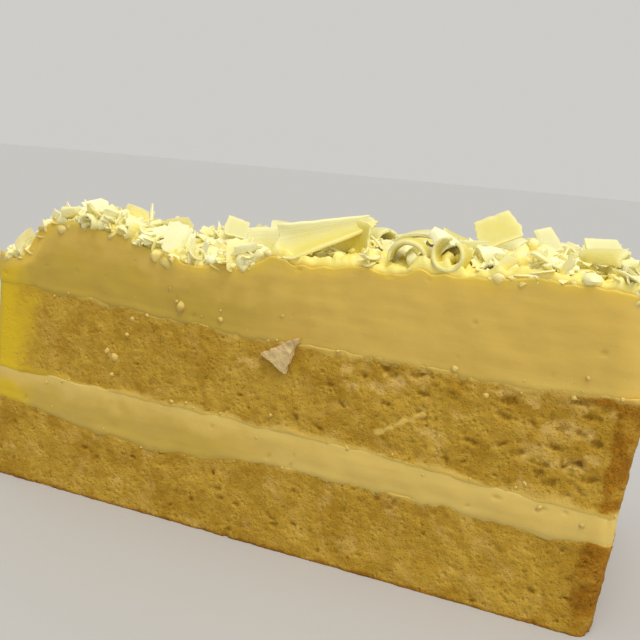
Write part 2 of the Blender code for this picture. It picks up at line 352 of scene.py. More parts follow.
# Crumbs that stand out on the front face: reach, height and size in millimetres.
FRONT_CRUMBS = (
    (0.338, 39.9, 2.0),
    (0.330, 40.6, 1.4),
    (0.406, 38.8, 1.5),
    (0.404, 40.2, 1.1),
    (0.505, 41.2, 1.4),
    (0.508, 42.6, 0.9),
    (0.244, 33.0, 1.7),
    (0.209, 29.3, 1.9),
    (0.224, 28.2, 1.6),
    (0.220, 25.0, 1.4),
    (0.319, 43.1, 1.5),
    (0.331, 22.4, 1.2),
    (0.357, 22.8, 1.1),
)

# Crumbs strewn on the cut faces besides these, and the spread of their heights.
FACE_CRUMBS = 170
FACE_CRUMB_SPREAD = 1.6 * MM

# A lump is cut by planes at shares of its size from its middle, out to a largest share. The lower
# its bluntness, the rounder its corners are worn.
LUMP_PLANES = 14
LUMP_CUTS = (0.26, 0.46)
LUMP_REACH = 0.56
BLUNTNESS = 30

# The numbers that each material reads from the mesh.
# For the sponges: painted shade in the pores, and the painted glow of light through the thin tip.
SPONGE_TINTS = ("pore", "browning", "film", "paleness", "tip")
# For the creams: painted shade in the pits and low down near the tip, a painted glow just under the
# shavings, and the painted glow at the tip.
CREAM_TINTS = ("pit", "tip_shade", "painted_glow", "tip")
SHEET_TINTS = ("scrape", "edge")

# The camera looks at a point over the middle of the base, tipped a little to one side.
CAMERA_PLACE = Vector((26.3, -161.0, 66.8)) * MM
CAMERA_TARGET = Vector((2.9, 0.0, 38.0)) * MM
CAMERA_ROLL = math.radians(5.25)
CAMERA_LENS = 50.0

# The floor, the wide light overhead and the soft light to the right.
FLOOR_RADIUS = 6.0
KEY_PLACE = (0.15, -0.35, 1.0)
KEY_ANGLE = math.radians(30)
FILL_PLACE = (0.40, -0.40, 0.22)
FILL_SIZE = 0.3
LAMP_COLOUR = (1.0, 0.985, 0.95)
ROOM_COLOUR = (1.0, 0.98, 0.95, 1.0)


# ---------------------------------------------------------------------------------------------
# The shape of the slice
# ---------------------------------------------------------------------------------------------


def blend(low, high, share):
    return low + (high - low) * share


def clamp(value, low=0.0, high=1.0):
    return min(max(value, low), high)


def ease(share):
    """From 0 to 1 along a smooth step."""
    share = clamp(share)
    return share * share * (3 - 2 * share)


def ramp(value, limits):
    """From 0 to 1 along a smooth step, as a value goes from one limit to the other."""
    return ease((value - limits[0]) / (limits[1] - limits[0]))


def bell(value, middle, width):
    """A smooth bump of height 1 around a middle."""
    return math.exp(-(((value - middle) / width) ** 2))


def through(stations, reach):
    """The value at a reach on a Catmull-Rom curve through evenly spaced stations."""
    last = len(stations) - 1
    place = clamp(reach) * last
    at = min(int(place), last - 1)
    share = place - at
    before, start = stations[max(at - 1, 0)], stations[at]
    end, after = stations[at + 1], stations[min(at + 2, last)]
    slope = end - before
    bend = 2 * before - 5 * start + 4 * end - after
    twist = 3 * (start - end) + after - before
    return start + 0.5 * share * (slope + share * (bend + share * twist))


def plan_point(reach, turn, radius=TOP_RADIUS):
    """The point on the plan at a reach and turn."""
    angle = HALF_TURN * turn
    across = TIP_CENTRE * math.sin(angle)
    start = TIP_CENTRE * math.cos(angle) - math.sqrt(max(TIP_ROUND**2 - across**2, 0.0))
    distance = blend(start, radius, reach)
    return CAKE_CENTRE + Vector((distance * math.cos(angle), distance * math.sin(angle), 0.0))


def place_of(point):
    """The reach and turn of a point on the plan."""
    from_centre = point - CAKE_CENTRE
    distance = math.hypot(from_centre.x, from_centre.y)
    turn = math.atan2(from_centre.y, from_centre.x) / HALF_TURN
    return clamp((distance - TIP_SETBACK) / FACE_LENGTH), clamp(turn, -1.0, 1.0)


def from_face(reach, turn):
    """How far in from the nearer cut face a place is."""
    return (1 - abs(turn)) * HALF_TURN * (TIP_SETBACK + FACE_LENGTH * reach)


def face_normal(turn):
    """The way out of the slice at its front or back cut face."""
    side = math.copysign(1.0, turn)
    return Vector((-math.sin(HALF_TURN), side * math.cos(HALF_TURN), 0.0))


def rim_normal(turn):
    """The way out of the slice at its rim."""
    return Vector((math.cos(HALF_TURN * turn), math.sin(HALF_TURN * turn), 0.0))


def on_outline(lap):
    """The reach and turn at a lap, the way out there, and how far the corner at the rim is."""
    walked = lap % 1.0 * GIRTH
    if walked < FACE_LENGTH:
        return walked / FACE_LENGTH, -1.0, face_normal(-1), FACE_LENGTH - walked
    walked -= FACE_LENGTH
    if walked < RIM_LENGTH:
        turn = 2 * walked / RIM_LENGTH - 1
        return 1.0, turn, rim_normal(turn), min(walked, RIM_LENGTH - walked)
    walked -= RIM_LENGTH
    if walked < FACE_LENGTH:
        return 1 - walked / FACE_LENGTH, 1.0, face_normal(1), walked
    swept = TIP_SWEEP * (1 - 2 * (walked - FACE_LENGTH) / TIP_LENGTH)
    out = Vector((-math.cos(swept), math.sin(swept), 0.0))
    spot = Vector((TIP_CENTRE, 0.0, 0.0)) + TIP_ROUND * out
    return 0.0, math.atan2(spot.y, spot.x) / HALF_TURN, out, FACE_LENGTH


def surface(stations, waver=0.0):
    """The height of a layer's surface at a reach and turn, uneven by about waver."""
    level_seed = sum(stations["front"])

    def height(reach, turn):
        front = through(stations["front"], reach)
        back = through(stations["back"], reach)
        level = MM * blend(front, back, (turn + 1) / 2)
        if waver:
            spot = plan_point(reach, turn) / MM
            spot.z = level_seed
            level += waver * (noise.noise(spot / 5.5) + 0.5 * noise.noise(spot / 1.9))
        return level

    return height


def plate(reach, turn):
    """The flat base of the slice."""
    return 0.0


def lowered(height, depth):
    """A surface some depth below another."""

    def level(reach, turn):
        return height(reach, turn) - depth

    return level


base_top = surface(BASE_SPONGE_TOP, WAVER)
filling_top = surface(FILLING_TOP, WAVER)
sponge_top = surface(UPPER_SPONGE_TOP, WAVER)
cream_level = surface(CREAM_TOP)


def cream_top(reach, turn):
    """The top of the upper cream: it slumps at the tip and rounds over at the rim."""
    at_tip = TIP_DROP * (1 - ease(reach / TIP_DROP_REACH))
    past = clamp((reach - RIM_DROP_REACH) / (1 - RIM_DROP_REACH))
    at_rim = RIM_DROP * (1 - math.sqrt(1 - past * past))
    slumped = TIP_SLUMP * bell(reach, TIP_SLUMP_REACH, TIP_SLUMP_WIDTH)
    return cream_level(reach, turn) - at_tip - at_rim - slumped + cream_lip(reach, turn)


def cream_lip(reach, turn):
    """How far the knife dragged the cream up over the shavings at the cut faces."""
    spot = plan_point(reach, turn) / MM
    dragged = 0.35 + 1.5 * noise.noise(spot / 7) + 0.5 * noise.noise(spot / 2.2)
    dragged = max(dragged, 0.0) - LIP_DIP_DEPTH * bell(reach, LIP_DIP_REACH, LIP_DIP_WIDTH)
    dragged *= blend(1.0, BACK_LIP, ease(2 * turn))
    return LIP_HEIGHT * dragged * (1 - ease(from_face(reach, turn) / LIP_WIDTH))


def on_shelf(reach, turn):
    """How far within the shelf at the front a place is, from 0 to 1."""
    from_ends = min(reach - SHELF_REACH[0], SHELF_REACH[1] - reach)
    return ease(from_ends / SHELF_SLOPE) * ease((SHELF_TURN - turn) / SHELF_TURN_SLOPE)


def heap_depth(reach, turn):
    """The depth of the heap of shavings over the cream."""
    depth = blend(HEAP_DEPTH["front"], HEAP_DEPTH["back"], (turn + 1) / 2)
    spot = (plan_point(reach, turn) - CAKE_CENTRE) / LUMP_SPACING
    depth *= 1 + HEAP_LUMP * noise.noise(spot)
    return blend(depth, SHELF_DEPTH, on_shelf(reach, turn))


def core_top(reach, turn):
    """The top of the heap's core, which loose shavings lie on and which packs the curls."""
    packed = SHELF_FILL * on_shelf(reach, turn)
    return cream_top(reach, turn) + CORE_SHARE * heap_depth(reach, turn) + packed


def cream_coat(spot):
    """How much cream the knife dragged over the shavings at a spot, near the edges of the top."""
    reach, turn = place_of(spot)
    above = (spot.z - cream_top(reach, turn)) / MM + noise.noise(spot / MM / 2.5)
    inset = min(from_face(reach, turn), (1 - reach) * FACE_LENGTH) / MM
    return (1 - ramp(above, COAT_HEIGHTS)) * (1 - ramp(inset, COAT_INSETS))


def in_clearing(reach, turn):
    """Whether a place is left clear of loose shavings."""
    return any(low < reach < high and turn < inner for low, high, inner in CLEARINGS)


def hollow(reach, turn):
    """How deep within a hollow between the shavings a place is, from 0 to 1."""
    spot = plan_point(reach, turn)
    deepest = 0.0
    for hollow_reach, hollow_turn, width in HOLLOWS:
        away = (spot - plan_point(hollow_reach, hollow_turn)).length / (width * MM)
        deepest = max(deepest, 1 - ease(away))
    return deepest


# ---------------------------------------------------------------------------------------------
# Starting shapes and finished pieces
# ---------------------------------------------------------------------------------------------


def block(cuts):
    """A box from 0 to 1 on each axis, with its faces cut up along each axis."""
    bm = bmesh.new()
    bmesh.ops.create_cube(bm, size=1.0)
    for axis, number in enumerate(cuts):
        along = [
            edge
            for edge in bm.edges
            if abs((edge.verts[0].co - edge.verts[1].co).normalized()[axis]) > 0.9
        ]
        if number > 1:
            bmesh.ops.subdivide_edges(bm, edges=along, cuts=number - 1, use_grid_fill=True)
    bmesh.ops.translate(bm, verts=bm.verts, vec=(0.5, 0.5, 0.5))
    return bm


def drum(levels):
    """A round drum of radius and height 1: its wall is cut up, and rings run in on its ends."""
    bm = bmesh.new()
    bmesh.ops.create_circle(bm, cap_ends=True, segments=LAPS, radius=1.0)
    made = bmesh.ops.extrude_face_region(bm, geom=list(bm.faces), use_keep_orig=True)
    lid = [part for part in made["geom"] if isinstance(part, bmesh.types.BMVert)]
    bmesh.ops.translate(bm, verts=lid, vec=(0.0, 0.0, 1.0))
    for end in [face for face in bm.faces if len(face.verts) == LAPS]:
        for _ in range(RINGS):
            bmesh.ops.inset_region(bm, faces=[end], thickness=RING_STEP)
        tie_across(end)
    upright = [edge for edge in bm.edges if abs(edge.verts[0].co.z - edge.verts[1].co.z) > 0.5]
    bmesh.ops.subdivide_edges(bm, edges=upright, cuts=levels - 1, use_grid_fill=True)
    return bm


def tie_across(face):
    """Cut the end of a drum into strips that run from one cut face of the slice to the other."""
    corners = {}
    for vert in face.verts:
        corners[round(LAPS * math.atan2(vert.co.y, vert.co.x) / math.tau) % LAPS] = vert
    rim = round(LAPS * (FACE_LENGTH + RIM_LENGTH / 2) / GIRTH)
    for step in range(1, LAPS // 2):
        ends = corners[(rim + step) % LAPS], corners[(rim - step) % LAPS]
        strip, _ = bmesh.utils.face_split(face, *ends)
        face = max(face, strip, key=lambda part: len(part.verts))


def finished(bm, name, sharp=None):
    """The mesh of a bmesh, with its faces turned outwards and shaded smooth."""
    bmesh.ops.recalc_face_normals(bm, faces=bm.faces)
    mesh = bpy.data.meshes.new(name)
    bm.to_mesh(mesh)
    bm.free()
    mesh.shade_smooth()
    if sharp:
        mesh.set_sharp_from_angle(angle=math.radians(sharp))
    return mesh


def add_piece(name, mesh, material, slot, *nodes):
    """A piece of the slice, which may stand for some of its solids."""
    mesh.materials.append(material)
    piece = bpy.data.objects.new(name, mesh)
    bpy.context.scene.collection.objects.link(piece)
    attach(piece, "root")
    if nodes:
        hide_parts(*nodes)
    return piece


def add_layer(node, material, levels, low, high, rim, corner, wall, tints):
    """A layer of the slice between two surfaces, which stands for a solid.

    The wall function gives how far the wall stands in at a spot, and the tints there: the numbers
    that the material reads.
    """
    bm = drum(levels)
    layers = [bm.verts.layers.float.new(tint) for tint in tints]
    for vert in bm.verts:
        lap = math.atan2(vert.co.y, vert.co.x) / math.tau
        inward = clamp(1 - vert.co.xy.length) ** RING_CROWDING
        on_wall = inward < 1e-4
        share = vert.co.z
        reach, turn, out, from_corner = on_outline(lap)
        spot = plan_point(reach, turn, CAKE_RADIUS + blend(*rim, share))
        nearness = clamp(1 - from_corner / corner)
        diagonal = (face_normal(turn) + rim_normal(math.copysign(1.0, turn))).normalized()
        spot -= (math.sqrt(2) - 1) * corner * nearness**2 * out.lerp(diagonal, nearness)
        if not on_wall:
            spine = Vector((clamp(spot.x, -SPINE_END, SPINE_END), 0.0, 0.0))
            spot = spot.lerp(spine, inward)
            reach, turn = place_of(spot)
        foot, head = low(reach, turn), high(reach, turn)
        spot.z = blend(foot, head, share)
        above_joint = spot.z - foot - (OVERLAP if foot > 0 else 0.0)
        depth, values = wall(spot, reach, turn, above_joint, head - spot.z)
        if foot > 0:
            depth += TUCK * ease(-above_joint / OVERLAP) - FOOT_PROUD * ease(1 - above_joint / OVERLAP)
        if on_wall:
            spot -= depth * out
        vert.co = spot
        for layer, value in zip(layers, values):
            vert[layer] = value
    return add_piece(f"{node}_layer", finished(bm, node), material, node, node)


# ---------------------------------------------------------------------------------------------
# The walls of the layers, in millimetres
# ---------------------------------------------------------------------------------------------


def pores(point, spacing, plenty):
    """How deep in a pore a point is: 0 on the crumb between pores and 1 in a pore's middle."""
    warped = point + 0.35 * spacing * noise.noise_vector(point / (0.6 * spacing))
    warped.z *= 1.5
    distances, centres = noise.voronoi(warped / spacing)
    room = 0.5 * plenty * math.sqrt(max(noise.cell(5 * centres[0]), 0.0))
    return math.sqrt(clamp(1 - distances[0] / room)) if room > 0.05 else 0.0


def crumb(point, plenty):
    """How far torn crumb stands in at a point, and how deep in a pore the point is."""
    large = pores(point, 3.3, 0.75 * plenty)
    small = pores(point + Vector((40, 0, 0)), 1.3, 0.5 + 0.5 * plenty)
    torn = 0.14 * noise.fractal(point / 1.2, 0.8, 2.0, 3) + 0.16 * plenty * noise.noise(point / 2.2)
    depth = 0.6 * large + 0.30 * small + torn + 0.25 * noise.noise(point / 5)
    return depth, clamp(0.8 * large + 0.4 * small)


def front_spots(spots, point, reach, turn):
    """How deep within some named spots of the front face a point is, from 0 to 1."""
    if turn > -0.999:
        return 0.0
    deepest = 0.0
    for spot_reach, height, half_length, half_height in spots:
        along = (reach - spot_reach) * FACE_LENGTH / MM / half_length
        up = (point.z - height) / half_height
        if abs(along) < 2 and abs(up) < 2:
            away = math.hypot(along, up) + 0.6 * noise.noise(point / 1.1)
            away += 0.4 * noise.noise(point / 0.45)
            deepest = max(deepest, 1 - away)
    return ease(1.3 * deepest)


def front_smears(point, reach, turn):
    """How much of the named smears of cream is on the front face at a point."""
    if turn > -0.999:
        return 0.0
    most = 0.0
    length = FACE_LENGTH / MM
    for start_reach, start_height, end_reach, end_height, half_width in FRONT_SMEARS:
        start = Vector((start_reach * length, start_height))
        run = Vector((end_reach * length, end_height)) - start
        here = Vector((reach * length, point.z)) - start
        share = clamp(here.dot(run) / run.length_squared)
        away = (here - share * run).length + 0.6 * noise.noise(point / 1.3)
        most = max(most, 1 - away / half_width)
    return ease(1.5 * most)


def sponge_film(point, reach, from_foot, from_head):
    """How much cream is smeared over the crumb next to the creams and at the tip."""
    spread = noise.noise(point / 6) + 0.4 * noise.noise(point / 1.6)
    over = 1 - ease(from_head / max(1.1 + 2.0 * spread, 0.3))
    under = 1 - ease(from_foot / max(0.9 - 1.6 * spread, 0.3))
    from_tip = reach * FACE_LENGTH / MM
    at_tip = 1 - ease((from_tip - 3.0 - 4 * spread) / 8.0)
    return max(over, under, 0.9 * at_tip)


def painted_tip_glow(point, reach, turn):
    """Painted glow of light through the thin tip: how yellow the slice is there, most on the front face.
    """
    from_tip = reach * FACE_LENGTH / MM
    uneven = noise.noise(point / 5) + 0.5 * noise.noise(point / 1.8)
    return (1 - ease((from_tip - 2.5 - 3 * uneven) / 7)) * blend(1.0, 0.4, ease((turn + 1) / 1.4))


def rubbed(point):
    """How far the crust is rubbed off at a point."""
    return 0.6 * ease((noise.noise(point / 4) + 0.5 * noise.noise(point / 1.4) - 0.1) / 0.5)


def upper_sponge_wall(spot, reach, turn, from_foot, from_head):
    """The upper sponge: denser towards the tip, open towards the rim, with a baked crust there."""
    point, from_foot, from_head = spot / MM, from_foot / MM, from_head / MM
    from_rim = (1 - reach) * FACE_LENGTH / MM
    uneven = noise.noise(point / 2.7)
    crust_width = blend(2.8, 3.6, clamp(from_foot / 14)) + 1.3 * uneven
    skin = 2.0 * ease((reach - 0.88) / 0.08) + 0.5 * uneven
    browning = max(ease((crust_width - from_rim) / 1.1 + 0.5), ease((skin - from_head) / 0.6))
    browning *= 1 - rubbed(point)
    plenty = blend(0.45, 1.0, ease((reach - 0.40) / 0.35)) * (1 - 0.5 * browning)
    plenty *= 1 + 0.5 * noise.noise(point / 10)
    depth, pore = crumb(point, plenty)
    hole = front_spots(FRONT_HOLES, point, reach, turn)
    patchy = noise.noise(point / 3.2 + Vector((9, 0, 0))) + 0.4 * noise.noise(point / 1.2)
    paleness = ease((patchy - 0.05) / 0.8) * plenty
    paleness = clamp(0.5 * paleness + 0.7 * front_spots(FRONT_PALES, point, reach, turn))
    film = max(
        sponge_film(point, reach, from_foot, from_head), front_smears(point, reach, turn)
    )
    depth = (depth + 0.6 * hole) * (1 - 0.9 * film)
    # Painted shade in the pores and the named holes.
    pore = max(pore, 0.5 * hole) * (1 - film)
    return depth * MM, (pore, browning, film, paleness, painted_tip_glow(point, reach, turn))


def base_sponge_wall(spot, reach, turn, from_foot, from_head):
    """The bottom sponge: dense, brown at the rim and underneath, with a recess and painted shade under
    the cream near the tip.
    """
    point, from_foot, from_head = spot / MM, from_foot / MM, from_head / MM
    from_rim = (1 - reach) * FACE_LENGTH / MM
    uneven = noise.noise(point / 2.7)
    at_rim = ease((4.2 + 1.2 * uneven - from_rim) / 1.1 + 0.5) * (1 - rubbed(point))
    underneath = ease((0.7 + 0.5 * uneven - from_foot) / 0.5)
    # Painted shade: a sunken band under the filling near the tip, drawn in darker crust colours.
    tip_shade = 0.6 * ease((1.0 + 0.4 * uneven - from_head) / 0.8) * ease((0.55 - reach) / 0.2)
    depth, pore = crumb(point, 0.75 + 0.3 * noise.noise(point / 10))
    film = 0.8 * (1 - ease(from_head / max(0.8 + 1.2 * uneven, 0.3))) * (1 - tip_shade)
    depth = depth * (1 - 0.7 * film) + 0.45 * tip_shade
    paleness = 0.4 * ease((noise.noise(point / 3.2) + 0.4 * noise.noise(point / 1.2)) / 0.8)
    browning = max(at_rim, underneath, tip_shade)
    return depth * MM, (pore * (1 - film), browning, film, paleness, 0.0)


def cream_wall(spot, reach, turn, from_foot, from_head):
    """A cream: smooth where the knife drew through it, with soft swells and a few small pits.

    It has painted shade low down in the half next to the tip, and a painted glow under the shavings.
    """
    point = spot / MM
    share = clamp(from_foot / max(from_foot + from_head, MM))
    pit = pores(point, 4.2, 0.36)
    uneven = noise.noise(point / 4) + 0.4 * noise.noise(point / 1.5)
    # Painted shade: darker low down in the half next to the tip.
    tip_shade = (1 - ease((reach - 0.38) / 0.20)) * (1 - ease((share - 0.40 - 0.25 * uneven) / 0.40))
    # Painted glow: the cream is lighter and yellower just under the shavings.
    painted_glow = 1 - ease(from_head / MM / (2.6 + 2.0 * uneven))
    depth = 0.25 * (2 * share - 1) ** 2 - 0.25
    depth += 0.30 * noise.noise(point / 12) + 0.13 * noise.noise(point / 3.5)
    drawn = Vector((point.x / 7, point.y / 7, point.z / 1.6))
    depth += 0.06 * noise.noise(drawn)
    return (depth + 0.25 * pit) * MM, (pit, tip_shade, painted_glow, painted_tip_glow(point, reach, turn))


# ---------------------------------------------------------------------------------------------
# Materials
# ---------------------------------------------------------------------------------------------


class Wire:
    """An output of a material's node, with arithmetic that adds Math nodes."""

    def __init__(self, paint, socket):
        self.paint = paint
        self.socket = socket

    def maths(self, operation, first, second):
        return self.paint.node("Math", {"operation": operation}, {0: first, 1: second})

    def __add__(self, other):
        return self.maths("ADD", self, other)

    def __sub__(self, other):
        return self.maths("SUBTRACT", self, other)

    def __rsub__(self, other):
        return self.maths("SUBTRACT", other, self)

    def __mul__(self, other):
        return self.maths("MULTIPLY", self, other)

    __radd__ = __add__
    __rmul__ = __mul__


class Paint:
    """A material in the making."""

    def __init__(self, name, constants):
        self.material = bpy.data.materials.new(name)
        self.material.use_nodes = True
        self.tree = self.material.node_tree
        self.shader = self.tree.nodes["Principled BSDF"]
        for constant, value in constants.items():
            self.shader.inputs[constant].default_value = value

    def node(self, kind, settings, sockets, output=None):
        """An output of a new node: its settings are made first, then its sockets."""
        made = self.tree.nodes.new("ShaderNode" + kind)
        for setting, value in settings.items():
            setattr(made, setting, value)
        for key, value in sockets.items():
            self.plug(value, self.find(made.inputs, key))
        return Wire(self, self.find(made.outputs, output or 0))

    def find(self, sockets, key):
        """The socket with a name, or the one at a place among those in use."""
        in_use = [socket for socket in sockets if socket.enabled]
        if isinstance(key, int):
            return in_use[key]
        return next(socket for socket in in_use if socket.name == key)

    def plug(self, value, socket):
        if isinstance(value, Wire):
            self.tree.links.new(value.socket, socket)
        elif socket.type == "RGBA":
            socket.default_value = (*value, 1.0)
        else:
            socket.default_value = value

    def place(self, stretch=(1, 1, 1)):
        """Object coordinates, squeezed along each axis by its stretch."""
        where = self.node("TexCoord", {}, {}, "Object")
        return self.node("Mapping", {}, {"Vector": where, "Scale": stretch})

    def across(self):
        """How far from the middle of the slice towards the rim."""
        where = self.node("TexCoord", {}, {}, "Object")
        return self.node("SeparateXYZ", {}, {"Vector": where}, "X")

    def tint(self, name):
        """A number that the mesh carries."""
        return self.node("Attribute", {"attribute_name": name}, {}, "Fac")

    def cloud(self, where, size, detail=3.0):
        """Noise around one half, with features of a size in millimetres."""
        sockets = {"Vector": where, "Scale": 1 / (size * MM), "Detail": detail}
        return self.node("TexNoise", {}, sockets, "Fac")

    def cells(self, where, size):
        """The distance to the nearest of many scattered points, in cells of a size in mm."""
        sockets = {"Vector": where, "Scale": 1 / (size * MM)}
        return self.node("TexVoronoi", {}, sockets, "Distance")

    def between(self, value, low, high):
        """From 0 to 1 as a value goes from low to high, smoothly."""
        sockets = {"Value": value, "From Min": low, "From Max": high}
        return self.node("MapRange", {"interpolation_type": "SMOOTHSTEP"}, sockets)

    def mixed(self, share, first, second):
        """A colour between two colours."""
        sockets = {"Factor": share, "A": first, "B": second}
        return self.node("Mix", {"data_type": "RGBA"}, sockets, "Result")

    def finish(self, colour, roughness, height, depth):
        """The material, once its colour, roughness and relief are plugged in."""
        sockets = {"Height": height, "Distance": depth, "Strength": 1.0}
        relief = self.node("Bump", {}, sockets, "Normal")
        self.plug(colour, self.shader.inputs["Base Color"])
        self.plug(roughness, self.shader.inputs["Roughness"])
        self.plug(relief, self.shader.inputs["Normal"])
        return self.material


def sponge_material(name, settings):
    """Sponge: mottled crumb with painted shade in its holes, a brown crust and smears of cream."""
    constants = {"Subsurface Weight": 0.15, "Subsurface Scale": 1.2 * MM, "Specular IOR Level": 0.2}
    paint = Paint(name, constants)
    paint.shader.inputs["Subsurface Radius"].default_value = (1.0, 0.6, 0.25)
    where = paint.place()
    pore, browning, film, paleness, tip = (paint.tint(tint) for tint in SPONGE_TINTS)
    broad = paint.cloud(where, 7)
    mottle = paint.cloud(where, 2.2, 4)
    grain = paint.cloud(where, 0.45, 3)
    # Painted shade in small pits of the crumb, which also sink in its relief.
    hollow = 1 - paint.between(paint.cells(where, 1.0), 0.05, 0.50)
    pinhole = 1 - paint.between(paint.cells(where, 0.45), 0.05, 0.45)
    tone = paint.between(0.45 * broad + 0.4 * mottle + 0.15 * grain, 0.36, 0.64)
    crumb_colour = paint.mixed(tone, settings.crumb_dark, settings.crumb_light)
    crumb_colour = paint.mixed(paleness, crumb_colour, settings.crumb_pale)
    hollow = hollow * paint.between(mottle, 0.40, 0.65)
    # Painted shade deep in the pores and pits.
    depth = paint.between(pore + 0.25 * hollow, 0.05, 1.0)
    crumb_colour = paint.mixed(depth, crumb_colour, settings.hole)
    scorch = paint.between(0.4 * broad + 0.25 * mottle + 0.35 * grain, 0.36, 0.62)
    crust_colour = paint.mixed(scorch, settings.crust_dark, settings.crust_light)
    colour = paint.mixed(browning, crumb_colour, crust_colour)
    # Painted shade: the smears are darker near the tip.
    tip_side_shade = 1 - paint.between(paint.across(), -50 * MM, -34 * MM)
    smear = paint.mixed(tip_side_shade, settings.smear, settings.tip_shade_smear)
    # Painted glow: at the tip the smeared cream turns yellower, as light shines through the thin slice.
    smear = paint.mixed(tip, smear, settings.tip_glow_smear)
    colour = paint.mixed(film * (0.9 + 0.2 * grain), colour, smear)
    torn = 0.4 * grain - 0.7 * hollow - 0.35 * pinhole
    height = 0.5 * mottle + torn * (1 - 0.8 * film)
    return paint.finish(colour, 0.92 - 0.4 * film, height, 0.32 * MM)


def cream_material(name, colour, shade, tip_shade_colour, tip_glow_colour, painted_glow_colour):
    """Cream: smooth, faintly clouded, with soft marks where the knife drew through it."""
    constants = {"Subsurface Weight": 0.35, "Subsurface Scale": 2.5 * MM, "Specular IOR Level": 0.4}
    paint = Paint(name, constants)
    paint.shader.inputs["Subsurface Radius"].default_value = (1.0, 0.75, 0.35)
    where = paint.place()
    drawn = paint.cloud(paint.place((0.15, 0.15, 1)), 1.6, 2)
    broad = paint.cloud(where, 10)
    mottle = paint.cloud(where, 2.4, 3)
    grain = paint.cloud(where, 0.35, 3)
    pit, tip_shade, painted_glow, tip = (paint.tint(tint) for tint in CREAM_TINTS)
    # Painted light: the cream is drawn lighter towards the rim, the side the light comes from.
    across = paint.between(paint.across(), -60 * MM, 60 * MM)
    tone = 0.5 * broad + 0.25 * mottle + 0.15 * drawn + 0.25 * across
    mixed = paint.mixed(paint.between(tone, 0.36, 0.74), shade, colour)
    # Painted shade in the pits.
    mixed = paint.mixed(0.5 * pit, mixed, shade)
    # Painted glow just under the shavings.
    mixed = paint.mixed(0.7 * painted_glow, mixed, painted_glow_colour)
    # Painted glow at the tip, where light shines through the thin slice.
    glow_share = tip + 0.14 * paint.between(broad, 0.40, 0.60)
    # Painted shade low down near the tip.
    mixed = paint.mixed(tip_shade, mixed, paint.mixed(glow_share, tip_shade_colour, tip_glow_colour))
    roughness = 0.42 + 0.2 * mottle
    height = 0.35 * drawn + 0.12 * grain + 0.5 * mottle
    return paint.finish(mixed, roughness, height, 0.15 * MM)


def chocolate_material(name, pale, deep, rim, highlight_share, coating):
    """White chocolate: scraped, so each sheet has fine lines across it, and tones that differ, partly
    painted shade.

    The rims of a sheet are paler, a painted highlight, and cream coats it in places.
    """
    paint = Paint(name, {"Subsurface Weight": 0.2, "Subsurface Scale": 0.8 * MM})
    paint.shader.inputs["Subsurface Radius"].default_value = (1.0, 0.9, 0.7)
    where = paint.place()
    scrape = paint.tint("scrape")
    shade = paint.tint("shade")
    mottle = paint.cloud(where, 1.6, 3)
    grain = paint.cloud(where, 0.3, 3)
    lines = paint.node("TexNoise", {"noise_dimensions": "1D"}, {"W": scrape, "Scale": 2600.0}, "Fac")
    tone = paint.between(0.5 * mottle + shade, 0.15, 1.1)
    colour = paint.mixed(tone, pale, deep)
    # Painted highlight on the rims of a sheet.
    colour = paint.mixed(highlight_share * paint.tint("edge"), colour, rim)
    coated = paint.between(paint.tint("coat") + 0.5 * mottle, 0.45, 1.15)
    colour = paint.mixed(0.85 * coated, colour, coating)
    height = 0.6 * lines + 0.4 * grain
    return paint.finish(colour, 0.42 + 0.25 * grain, height, 0.12 * MM)


def fine_chocolate(name, settings):
    """The chocolate of the fine shavings."""
    tones = settings.pale, settings.deep, settings.rim
    return chocolate_material(name, *tones, FINE_HIGHLIGHT_SHARE, settings.coating)


def flake_material(name, colour):
    """A dry flake of cream: chalky, with a paler crumbled surface."""
    paint = Paint(name, {"Subsurface Weight": 0.2, "Subsurface Scale": 1.0 * MM})
    where = paint.place()
    mottle = paint.cloud(where, 1.3, 4)
    grain = paint.cloud(where, 0.3, 3)
    darker = tuple(0.8 * part for part in colour)
    mixed = paint.mixed(paint.between(0.6 * mottle + 0.4 * grain, 0.35, 0.6), darker, colour)
    return paint.finish(mixed, 0.65 + 0.2 * grain, mottle + 0.5 * grain, 0.2 * MM)


def stage_material(name, colour, roughness):
    """The pale floor, very faintly mottled."""
    paint = Paint(name, {})
    where = paint.place()
    broad = paint.cloud(where, 90)
    grain = paint.cloud(where, 2)
    shaded = tuple(0.97 * part for part in colour)
    return paint.finish(paint.mixed(broad, shaded, colour), roughness, grain, 0.02 * MM)


# ---------------------------------------------------------------------------------------------
# Shavings, lumps and crumbs
# ---------------------------------------------------------------------------------------------


def shaving_shape(cuts, length, width, roll, taper, sheet, ragged, seed):
    """A sheet scraped off a block, bent round across its width, as a closed bmesh."""
    bm = block(cuts)
    scrape, edge = (bm.verts.layers.float.new(tint) for tint in SHEET_TINTS)
    bend = math.radians(roll)
    for vert in bm.verts:
        along, across, side = vert.co - Vector((0.5, 0.5, 0.5))
        torn = ragged * noise.noise(Vector((5 * across, 9 * math.copysign(1, along), seed)))
        nicked = ragged * noise.noise(Vector((5 * along, 9 * math.copysign(1, across), seed)))
        wave = noise.noise(Vector((2.2 * along, 2.2 * across, seed + 20)))
        vert[scrape] = across * width
        # Where the painted highlight of the rims shows.
        vert[edge] = max(abs(2 * along), abs(2 * across)) ** 5
        radius = width / bend * (1 - taper * (along + 0.5))
        thickness = sheet * (1 - RIM_THINNING * abs(2 * along) ** 4)
        thickness *= 1 - RIM_THINNING * abs(2 * across) ** 4
        opened = radius * (1 + SPIRAL * across) + side * thickness + 0.06 * ragged * width * wave
        angle = across * bend * (1 + nicked)
        vert.co.x = length * along * (1 - WAIST * abs(across)) * (1 + 1.5 * torn)
        vert.co.y = opened * math.sin(angle)
        vert.co.z = radius - opened * math.cos(angle)
    return bm


